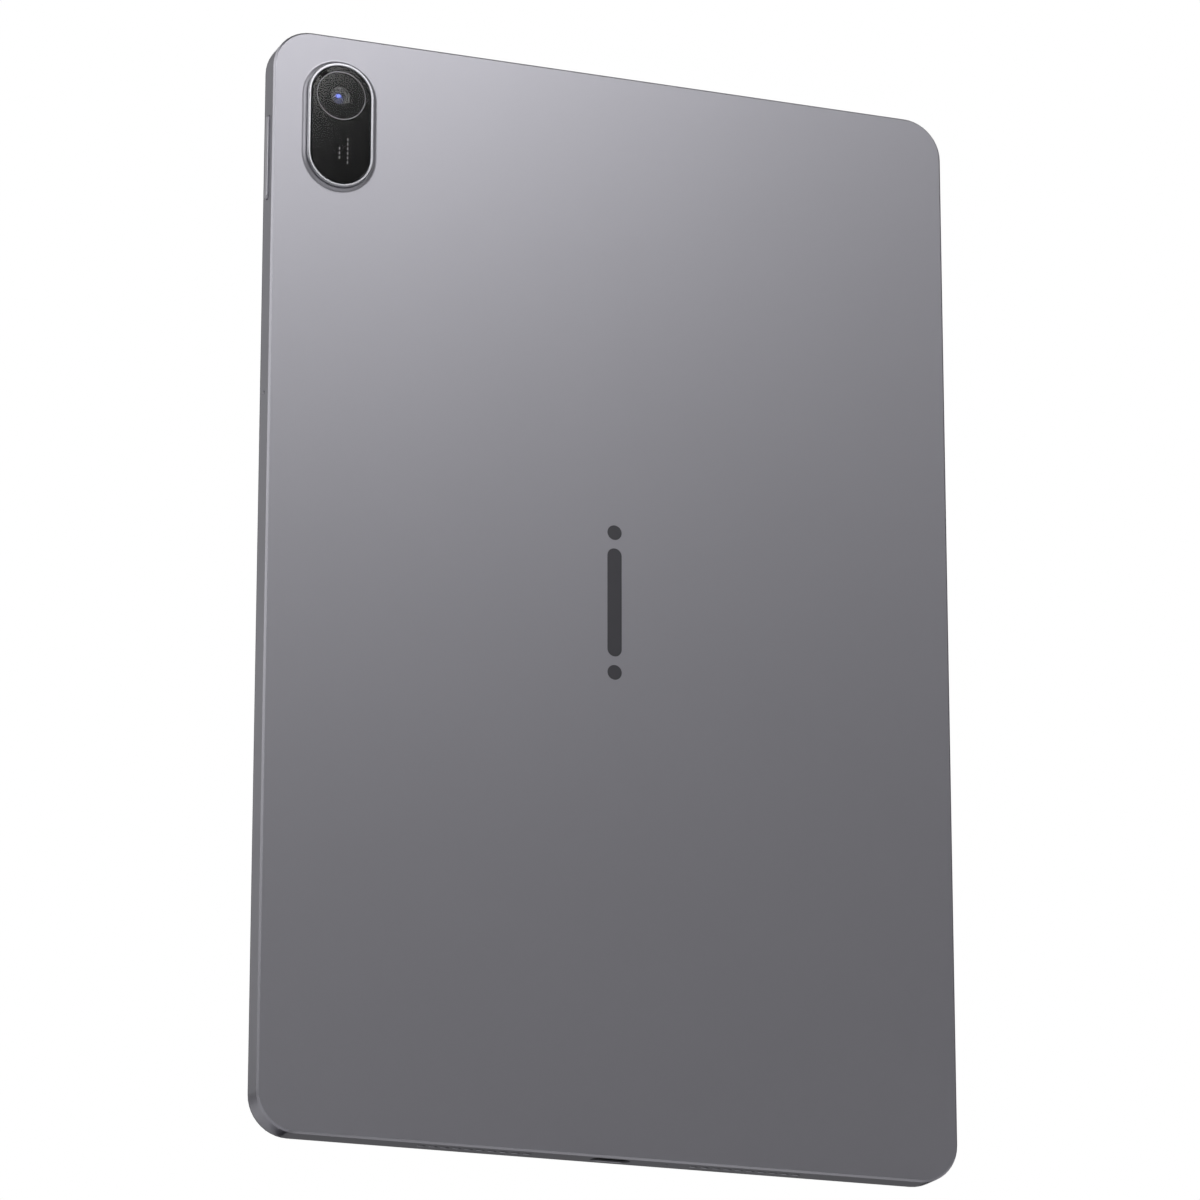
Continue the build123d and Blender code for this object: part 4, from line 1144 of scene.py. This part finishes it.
@dataclass
class Boards(Assembly):
    """Main board and lower board, with their chips, lids, connectors, screws and small parts."""

    part_rows: int = 9
    part_columns: int = 16
    part_length: float = 0.8
    part_width: float = 0.45
    part_height: float = 0.35
    keep_share: float = 0.6
    solder_share: float = 0.22
    part_pitch: float = 1.5
    part_shift: float = -1.0
    solder_swell: float = 1.08
    screw_head_radius: float = 1.2
    screw_head_height: float = 0.4
    screw_shank_radius: float = 0.6
    screw_slot: tuple[float, float, float] = (1.4, 0.3, 0.22)
    screw_facets: int = 32
    shank_facets: int = 24
    seed: int = 7

    def build(self) -> list[bpy.types.Object]:
        """Build and dress the boards.

        Returns:
            The pieces made.
        """
        self.dress_nodes({
            "mainboard": "solder_mask", "sub_board": "solder_mask", "battery_board": "solder_mask",
            "processor": "chip_epoxy", "memory_chips": "chip_epoxy", "board_connectors": "connector_cream",
            "microphones": "nickel_sheet", "interconnect_flex": "flex_amber", "battery_flex": "flex_amber",
        })
        lids = [self.refine(f"shield_can_{size}", f"board_lid_{size}", "nickel_sheet", "nickel_sheet")
                for size in ("large", "small")]
        return [*lids, self.screws(), self.small_parts("board_part_bodies", "ceramic_tan", 0.0),
                self.small_parts("board_part_ends", "solder_tin", self.solder_share)]

    def screws(self) -> bpy.types.Object:
        """Build the board screws, each with a crossed recess in its head.

        Returns:
            The screws, as one piece.
        """
        work = welded_copy("board_screws")
        places, reaches = [], []
        remaining = set(work.verts)
        while remaining:
            island = [remaining.pop()]
            for vert in island:
                for edge in vert.link_edges:
                    other = edge.other_vert(vert)
                    if other in remaining:
                        remaining.discard(other)
                        island.append(other)
            xs, ys, zs = zip(*(vert.co for vert in island))
            places.append(((min(xs) + max(xs)) / 2, min(ys), (min(zs) + max(zs)) / 2))
            reaches.append(max(ys) - min(ys) - self.screw_head_height * MM)
        work.free()
        slot_length, slot_width, slot_depth = self.screw_slot
        repeat = RepeatTree("board_screw", {
            "Head Radius": self.screw_head_radius * MM, "Head Height": self.screw_head_height * MM,
            "Shank Radius": self.screw_shank_radius * MM, "Slot Length": slot_length * MM,
            "Slot Width": slot_width * MM, "Slot Depth": slot_depth * MM})
        sheet = repeat.sheet
        upright = Vector((QUARTER_TURN, 0.0, 0.0))
        half_head = sheet.times(repeat.size("Head Height"), 0.5)
        head = sheet.add("GeometryNodeMeshCylinder", {
            "Vertices": self.screw_facets, "Radius": repeat.size("Head Radius"),
            "Depth": repeat.size("Head Height")})
        slot = sheet.add("GeometryNodeMeshCube", {
            "Size": repeat.vector(*(repeat.size(f"Slot {part}") for part in ("Length", "Width", "Depth")))})
        cross = sheet.add("GeometryNodeTransform", {
            "Geometry": slot.outputs[0], "Rotation": Vector((0.0, 0.0, QUARTER_TURN))})
        both = sheet.join(slot.outputs[0], cross.outputs[0])
        raised = sheet.add("GeometryNodeTransform", {
            "Geometry": both, "Translation": repeat.vector(z=half_head)})
        cut = sheet.add("GeometryNodeMeshBoolean", {"Mesh 1": head.outputs[0]}, operation="DIFFERENCE")
        repeat.tree.links.new(raised.outputs[0], cut.inputs["Mesh 2"])
        turned_head = sheet.add("GeometryNodeTransform", {
            "Geometry": cut.outputs["Mesh"], "Rotation": upright, "Translation": repeat.vector(y=half_head)})
        shank = sheet.add("GeometryNodeMeshCylinder", {
            "Vertices": self.shank_facets, "Radius": repeat.size("Shank Radius"), "Depth": 1.0})
        turned_shank = sheet.add("GeometryNodeTransform", {
            "Geometry": shank.outputs[0], "Rotation": upright, "Translation": Vector((0.0, 0.5, 0.0))})
        reach = sheet.add("GeometryNodeInputNamedAttribute", {"Name": "reach"}, data_type="FLOAT")
        points = repeat.source.outputs["Geometry"]
        seats = sheet.add("GeometryNodeSetPosition", {
            "Geometry": points, "Offset": repeat.vector(y=repeat.size("Head Height"))})
        shanks = sheet.add("GeometryNodeInstanceOnPoints", {
            "Points": seats.outputs[0], "Instance": turned_shank.outputs[0],
            "Scale": repeat.vector(1.0, reach.outputs[0], 1.0)})
        heads = sheet.add("GeometryNodeInstanceOnPoints", {
            "Points": points, "Instance": turned_head.outputs[0]})
        repeat.finish([heads.outputs[0], shanks.outputs[0]], self.finishes.by_name["screw_zinc"])
        start = point_mesh("screw_places", places)
        start.attributes.new("reach", "FLOAT", "POINT").data.foreach_set("value", reaches)
        piece = repeat.make("board_screw_set", start)
        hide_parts("board_screws")
        return seat(piece, TABLET)

    def small_parts(self, label: str, finish: str, end_share: float) -> bpy.types.Object:
        """Scatter small chip parts, or their soldered ends, over the free middle of the main board.

        Args:
            label: The piece's name.
            finish: The finish's name.
            end_share: 0 for the bodies, or each soldered end's share of the length.

        Returns:
            The parts, as one piece.
        """
        low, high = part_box("mainboard")
        middle_z = (low.z + high.z) / 2
        repeat = RepeatTree(label, {
            "Length": self.part_length * MM, "Width": self.part_width * MM, "Height": self.part_height * MM,
            "Pitch": self.part_pitch * MM, "Keep Share": self.keep_share},
            {"Columns": self.part_columns, "Rows": self.part_rows, "Seed": self.seed})
        sheet = repeat.sheet
        pitch, length = repeat.size("Pitch"), repeat.size("Length")
        grid = sheet.add("GeometryNodeMeshGrid", {
            "Size X": sheet.times(pitch, float(self.part_columns - 1)),
            "Size Y": sheet.times(pitch, float(self.part_rows - 1)),
            "Vertices X": repeat.size("Columns"), "Vertices Y": repeat.size("Rows")})
        chance = sheet.add("FunctionNodeRandomValue", {"Probability": repeat.size("Keep Share"),
                                                       "Seed": repeat.size("Seed")}, data_type="BOOLEAN")
        swell = 1.0 if end_share == 0.0 else self.solder_swell
        share = 1.0 - 2.0 * self.solder_share if end_share == 0.0 else end_share
        body = sheet.add("GeometryNodeMeshCube", {"Size": repeat.vector(
            sheet.times(length, share), sheet.times(repeat.size("Width"), swell),
            sheet.times(repeat.size("Height"), swell))})
        solid = body.outputs[0]
        if end_share > 0.0:
            ends = []
            for side in Side:
                shift = sheet.times(length, side.value * (1.0 - end_share) / 2)
                end = sheet.add("GeometryNodeTransform", {
                    "Geometry": solid, "Translation": repeat.vector(shift)})
                ends.append(end.outputs[0])
            solid = sheet.join(*ends)
        placed = sheet.add("GeometryNodeInstanceOnPoints", {
            "Points": grid.outputs[0], "Instance": solid, "Selection": chance.outputs[3]})
        upright = sheet.add("GeometryNodeTransform", {
            "Geometry": placed.outputs[0], "Rotation": Vector((QUARTER_TURN, 0.0, 0.0)),
            "Translation": Vector((self.part_shift * MM, low.y - self.part_height * MM / 2, middle_z))})
        repeat.finish([upright.outputs[0]], self.finishes.by_name[finish])
        return seat(repeat.make(label), TABLET)


@dataclass
class Battery(Assembly):
    """Two foil cells, their bonding film and plain labels."""

    label_inset: float = 12.0
    label_height: float = 40.0
    label_thickness: float = 0.06
    label_corner: float = 2.0
    corner_steps: int = 6

    def build(self) -> list[bpy.types.Object]:
        """Build and dress the battery.

        Returns:
            The pieces made.
        """
        pieces = []
        for side in Side:
            node = f"battery_cell_{side.name.lower()}"
            pieces.append(self.refine(node, f"battery_pouch_{side.name.lower()}", "foil_pouch", "cell_pouch"))
            pieces.append(self.label(side, node))
        self.dress_nodes({"battery_adhesive": "bonding_film"})
        return pieces

    def label(self, side: Side, node: str) -> bpy.types.Object:
        """Lay a blank rounded label on a cell's face.

        Args:
            side: Which cell.
            node: The cell's CAD node.

        Returns:
            The label.
        """
        low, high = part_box(node)
        half_width = (high.x - low.x) / 2 - self.label_inset * MM
        half_height = self.label_height * MM / 2
        centre = (low + high) / 2
        radius = self.label_corner * MM
        work = bmesh.new()
        outline = []
        for corner in range(4):
            turn = QUARTER_TURN * corner
            middle_x = centre.x + (half_width - radius) * (1 if corner in (0, 3) else -1)
            middle_z = centre.z + (half_height - radius) * (1 if corner in (0, 1) else -1)
            for step in range(self.corner_steps + 1):
                angle = turn + QUARTER_TURN * step / self.corner_steps
                outline.append(work.verts.new((
                    middle_x + radius * math.cos(angle), low.y - self.label_thickness * MM,
                    middle_z + radius * math.sin(angle))))
        face = work.faces.new(outline)
        grown = bmesh.ops.extrude_face_region(work, geom=[face])
        verts = [item for item in grown["geom"] if isinstance(item, bmesh.types.BMVert)]
        bmesh.ops.translate(work, verts=verts, vec=(0.0, self.label_thickness * MM, 0.0))
        bmesh.ops.recalc_face_normals(work, faces=work.faces)
        piece = piece_from(work, f"battery_label_{side.name.lower()}")
        self.finishes.dress(piece, "label_white")
        return seat(piece, TABLET)


@dataclass
class Speakers(Assembly):
    """Four sealed speaker boxes, their cones, and the woven mesh behind the slots."""

    wire_pitch: float = 0.26
    wire_radius: float = 0.045
    wire_facets: int = 5
    wave_points: int = 220
    strip_length: float = 28.0
    seat_length: float = 28.1
    recess_depth: float = 0.5
    cone_inner: float = 3.4
    cone_outer: float = 6.35
    cone_steps: int = 24
    cone_lift: float = 0.14
    cone_wave: float = 0.1
    cone_gap: float = 0.01

    def build(self) -> list[bpy.types.Object]:
        """Build and dress the speakers.

        Returns:
            The pieces made.
        """
        pieces = [self.weave()]
        for end in ("bottom", "top"):
            for side in Side:
                node = f"speaker_{end}_{side.name.lower()}"
                place = f"{end}_{side.name.lower()}"
                pieces.append(self.refine(node, f"speaker_case_{place}", "speaker_case", "speaker_black"))
                pieces.append(self.cone(f"speaker_cone_{place}", node))
        return pieces

    def cone(self, label: str, node: str) -> bpy.types.Object:
        """Build a corrugated surround that lies in the driver's recess.

        Args:
            label: The cone's name.
            node: The speaker's CAD node.

        Returns:
            The cone.
        """
        low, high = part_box(node)
        centre = (low + high) / 2
        floor = low.y / MM + self.recess_depth
        inner, outer, steps = self.cone_inner, self.cone_outer, self.cone_steps
        wave = [(inner + (outer - inner) * step / steps,
                 floor - self.cone_lift - self.cone_wave * math.sin(math.pi * 4.0 * step / steps) ** 2)
                for step in range(steps + 1)]
        profile = [*wave, (outer, floor - self.cone_gap), (inner, floor - self.cone_gap)]
        piece = turned_piece(label, profile, centre)
        self.finishes.dress(piece, "cone_film")
        return seat(piece, TABLET)

    def weave(self) -> bpy.types.Object:
        """Weave the four mesh strips behind the speaker slots.

        Returns:
            The strips, as one piece.
        """
        low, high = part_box("speaker_meshes")
        strip_length = self.strip_length * MM
        strip_width = high.y - low.y - 2 * self.wire_radius * MM
        middle_x = (high.x - low.x) / 2 - self.seat_length * MM / 2
        middle_y = (low.y + high.y) / 2
        repeat = RepeatTree("mesh_strip", {
            "Length": strip_length, "Width": strip_width, "Pitch": self.wire_pitch * MM,
            "Wire Radius": self.wire_radius * MM})
        sheet = repeat.sheet
        pitch = repeat.size("Pitch")
        length, width = repeat.size("Length"), repeat.size("Width")
        across_count = sheet.math("ADD", sheet.math("FLOOR", sheet.math("DIVIDE", length, pitch)), 1.0)
        along_count = sheet.math("ADD", sheet.math("FLOOR", sheet.math("DIVIDE", width, pitch)), 1.0)
        wire = sheet.add("GeometryNodeCurvePrimitiveCircle", {
            "Resolution": self.wire_facets, "Radius": repeat.size("Wire Radius")})
        straight = sheet.add("GeometryNodeCurvePrimitiveLine", {
            "Start": repeat.vector(y=sheet.times(width, -0.5)),
            "End": repeat.vector(y=sheet.times(width, 0.5))})
        cross_wire = sheet.add("GeometryNodeCurveToMesh", {
            "Curve": straight.outputs[0], "Profile Curve": wire.outputs[0], "Fill Caps": True})
        cross_line = sheet.add("GeometryNodeMeshLine", {
            "Count": across_count, "Offset": repeat.vector(x=pitch),
            "Start Location": repeat.vector(x=sheet.times(length, -0.5))}, mode="OFFSET")
        crossing = sheet.add("GeometryNodeInstanceOnPoints", {
            "Points": cross_line.outputs[0], "Instance": cross_wire.outputs[0]})
        long_line = sheet.add("GeometryNodeCurvePrimitiveLine", {
            "Start": repeat.vector(x=sheet.times(length, -0.5)),
            "End": repeat.vector(x=sheet.times(length, 0.5))})
        fine = sheet.add("GeometryNodeResampleCurve", {
            "Curve": long_line.outputs[0], "Count": self.wave_points})
        place = sheet.add("GeometryNodeInputPosition")
        split = sheet.add("ShaderNodeSeparateXYZ", {0: place.outputs[0]})
        phase = sheet.math("DIVIDE", sheet.times(split.outputs["X"], math.pi), pitch)
        swing = sheet.times(sheet.math("SINE", phase), sheet.times(repeat.size("Wire Radius"), 0.5))
        waved = sheet.add("GeometryNodeSetPosition", {
            "Geometry": fine.outputs[0], "Offset": repeat.vector(z=swing)})
        long_wire = sheet.add("GeometryNodeCurveToMesh", {
            "Curve": waved.outputs[0], "Profile Curve": wire.outputs[0], "Fill Caps": True})
        along_start = sheet.times(width, -0.5)
        along_line = sheet.add("GeometryNodeMeshLine", {
            "Count": along_count, "Offset": repeat.vector(y=pitch),
            "Start Location": repeat.vector(y=along_start)}, mode="OFFSET")
        running = sheet.add("GeometryNodeInstanceOnPoints", {
            "Points": along_line.outputs[0], "Instance": long_wire.outputs[0]})
        strip = sheet.join(crossing.outputs[0], running.outputs[0])
        placed = sheet.add("GeometryNodeInstanceOnPoints", {
            "Points": repeat.source.outputs["Geometry"], "Instance": strip})
        repeat.finish([placed.outputs[0]], self.finishes.by_name["mesh_wire"])
        lift = 1.6 * self.wire_radius * MM
        places = [(side.value * middle_x, middle_y, z)
                  for side in Side for z in (low.z + lift, high.z - lift)]
        piece = repeat.make("speaker_weave", point_mesh("strip_places", places))
        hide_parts("speaker_meshes")
        return seat(piece, TABLET)


# ------------------------------------------------------------ studio


@dataclass
class Softbox:
    """One soft square studio light that looks at the middle of the tablet from a given direction."""

    name: str
    azimuth: float
    elevation: float
    power: float
    width: float = 0.35
    distance: float = 0.8
    roll: float = 0.0

    def build(self, middle: Vector) -> bpy.types.Object:
        """Hang the light.

        Args:
            middle: The point that it looks at, in metres.

        Returns:
            The light's object.
        """
        data = bpy.data.lights.new(self.name, "AREA")
        data.shape = "SQUARE"
        data.size = self.width
        data.energy = self.power
        light = bpy.data.objects.new(self.name, data)
        bpy.context.scene.collection.objects.link(light)
        light.visible_camera = False
        away = outward(self.azimuth, self.elevation)
        light.location = middle + away * self.distance
        turn = Quaternion((0.0, 0.0, 1.0), math.radians(self.roll))
        light.rotation_euler = ((-away).to_track_quat("-Z", "Y") @ turn).to_euler()
        return light


def outward(azimuth: float, elevation: float) -> Vector:
    """Return the unit vector toward an azimuth from +Y to +X and an elevation, both in degrees."""
    turn, rise = math.radians(azimuth), math.radians(elevation)
    return Vector((math.cos(rise) * math.sin(turn), math.cos(rise) * math.cos(turn), math.sin(rise)))


@dataclass
class Studio:
    """Pale floor, white surroundings, soft lights and the camera."""

    floor_size: float = 6.0
    floor_gap: float = 0.02
    foot_inset: float = 7.4
    foot_margin: float = 0.2
    fade_start: float = 0.12
    fade_end: float = 0.9
    near_glow: float = 0.5
    floor_color: tuple[float, float, float] = (0.92, 0.92, 0.93)
    ambient: tuple[float, float, float] = (0.12, 0.12, 0.122)
    backdrop: tuple[float, float, float] = (1.0, 1.0, 1.0)
    camera_distance: float = 1.3279
    camera_azimuth: float = 21.18
    camera_elevation: float = -16.92
    lens: float = 178.5
    target: tuple[float, float, float] = (0.0035, 0.00345, 0.1263)
    lights: list[Softbox] = field(default_factory=lambda: [
        Softbox("back_key", -8.0, 43.2, 1.64, roll=45.0),
        Softbox("top_rim", -130.0, 63.0, 0.12, 0.5, 0.5),
        Softbox("back_rim", -52.0, 28.0, 0.2),
        Softbox("edge_low", 69.0, 20.0, 0.33, 0.3, 0.6),
        Softbox("edge_high", 69.0, 42.0, 0.335, 0.3, 0.6),
        Softbox("side_fill", 160.0, 20.0, 0.264, 0.5, 0.9),
        Softbox("front_fill", -160.0, 35.0, 1.5, 0.5, 0.9),
        Softbox("under_back", -50.0, -67.0, 0.187, 0.3, 0.716),
        Softbox("under_front", -159.0, -17.0, 0.025, 0.4, 0.7),
    ])

    def build(self) -> None:
        """Set up floor, surroundings, lights and camera."""
        self.floor()
        self.surroundings()
        low, high = CAD_BOX
        middle = Vector((0.0, 0.0, (low.z + high.z) / 2))
        for light in self.lights:
            light.build(middle)
        self.camera()
        bpy.context.scene.view_settings.view_transform = "Standard"

    def floor(self) -> None:
        """Lay the floor around an opening under the lower edge, and a patch there that light passes."""
        outer = self.floor_size / 2
        low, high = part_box("rear_housing")
        across, deep = (high.x - low.x) / 2 - self.foot_inset * MM, high.y + self.foot_margin * MM
        height = -self.floor_gap * MM
        material = self.floor_material()
        corners = [(-1, -1), (1, -1), (1, 1), (-1, 1)]
        around = [(x * outer, y * outer, height) for x, y in corners]
        inside = [(x * across, y * deep, height) for x, y in corners]
        ring = [(step, (step + 1) % 4, (step + 1) % 4 + 4, step + 4) for step in range(4)]
        shapes = (("floor", around + inside, ring), ("floor_patch", inside, [(0, 1, 2, 3)]))
        for label, points, faces in shapes:
            mesh = bpy.data.meshes.new(label)
            mesh.from_pydata(points, [], faces)
            mesh.materials.append(material)
            link_piece(label, mesh)
        patch = bpy.data.objects["floor_patch"]
        for ray in ("diffuse", "glossy", "transmission", "shadow"):
            setattr(patch, f"visible_{ray}", False)

    def floor_material(self) -> bpy.types.Material:
        """Build a pale floor, solid from above, clear from below, that fades into the backdrop.

        Returns:
            The material.
        """
        material = bpy.data.materials.new("pale_floor")
        material.use_nodes = True
        sheet = NodeSheet(material.node_tree)
        grain = grain_node(sheet, GrainRun.EVEN, 300.0, 3.0)
        dark = [channel * FLOOR_MOTTLE for channel in self.floor_color]
        color = sheet.blend_colors(grain.outputs["Mottle"], rgba(dark), rgba(self.floor_color))
        solid = sheet.add("ShaderNodeBsdfPrincipled", {"Base Color": color, "Roughness": 0.7})
        glow = sheet.add("ShaderNodeEmission", {"Color": rgba(self.backdrop)})
        place = sheet.place()
        away = sheet.add("ShaderNodeVectorMath", {0: place}, operation="LENGTH").outputs["Value"]
        fade = sheet.add("ShaderNodeMapRange", {
            "Value": away, "From Min": self.fade_start, "From Max": self.fade_end,
            "To Min": self.near_glow, "To Max": 1.0}, interpolation_type="SMOOTHSTEP")
        seen = sheet.add("ShaderNodeLightPath").outputs["Is Camera Ray"]
        lift = sheet.times(seen, fade.outputs["Result"])
        pale = sheet.add("ShaderNodeMixShader", {0: lift, 1: solid.outputs[0], 2: glow.outputs[0]})
        clear = sheet.add("ShaderNodeBsdfTransparent")
        facing = sheet.add("ShaderNodeNewGeometry")
        mix = sheet.add("ShaderNodeMixShader", {
            0: facing.outputs["Backfacing"], 1: pale.outputs[0], 2: clear.outputs[0]})
        sheet.add("ShaderNodeOutputMaterial", {"Surface": mix.outputs[0]})
        return material

    def surroundings(self) -> None:
        """Show plain white behind the tablet and light it with an even grey."""
        world = bpy.data.worlds.new("studio")
        world.use_nodes = True
        bpy.context.scene.world = world
        sheet = NodeSheet(world.node_tree)
        seen = sheet.add("ShaderNodeLightPath").outputs["Is Camera Ray"]
        ambient = sheet.add("ShaderNodeBackground", {"Color": rgba(self.ambient), "Strength": 1.0})
        backdrop = sheet.add("ShaderNodeBackground", {"Color": rgba(self.backdrop), "Strength": 1.0})
        mix = sheet.add("ShaderNodeMixShader", {0: seen, 1: ambient.outputs[0], 2: backdrop.outputs[0]})
        sheet.add("ShaderNodeOutputWorld", {"Surface": mix.outputs[0]})

    def camera(self) -> None:
        """Stand the camera behind and below the tablet, looking up at its back."""
        data = bpy.data.cameras.new("studio_camera")
        data.sensor_width = SENSOR_WIDTH
        data.lens = self.lens
        data.clip_start = 0.01
        camera = bpy.data.objects.new("studio_camera", data)
        bpy.context.scene.collection.objects.link(camera)
        away = outward(self.camera_azimuth, self.camera_elevation)
        camera.location = Vector(self.target) + away * self.camera_distance
        camera.rotation_euler = (-away).to_track_quat("-Z", "Y").to_euler()
        bpy.context.scene.camera = camera


# ------------------------------------------------------------ making


def main() -> None:
    """Build every sub-assembly in order, then the studio."""
    logging.basicConfig(level=logging.INFO, format="%(name)s: %(message)s")
    finishes = Finishes()
    for assembly in (Housing, Display, CameraIsland, Keys, Port, Boards, Battery, Speakers):
        for piece in assembly(finishes).build():
            log.info("%s made %s with %d faces", assembly.__name__, piece.name, len(piece.data.polygons))
    Studio().build()


if __name__ == "__main__":
    main()
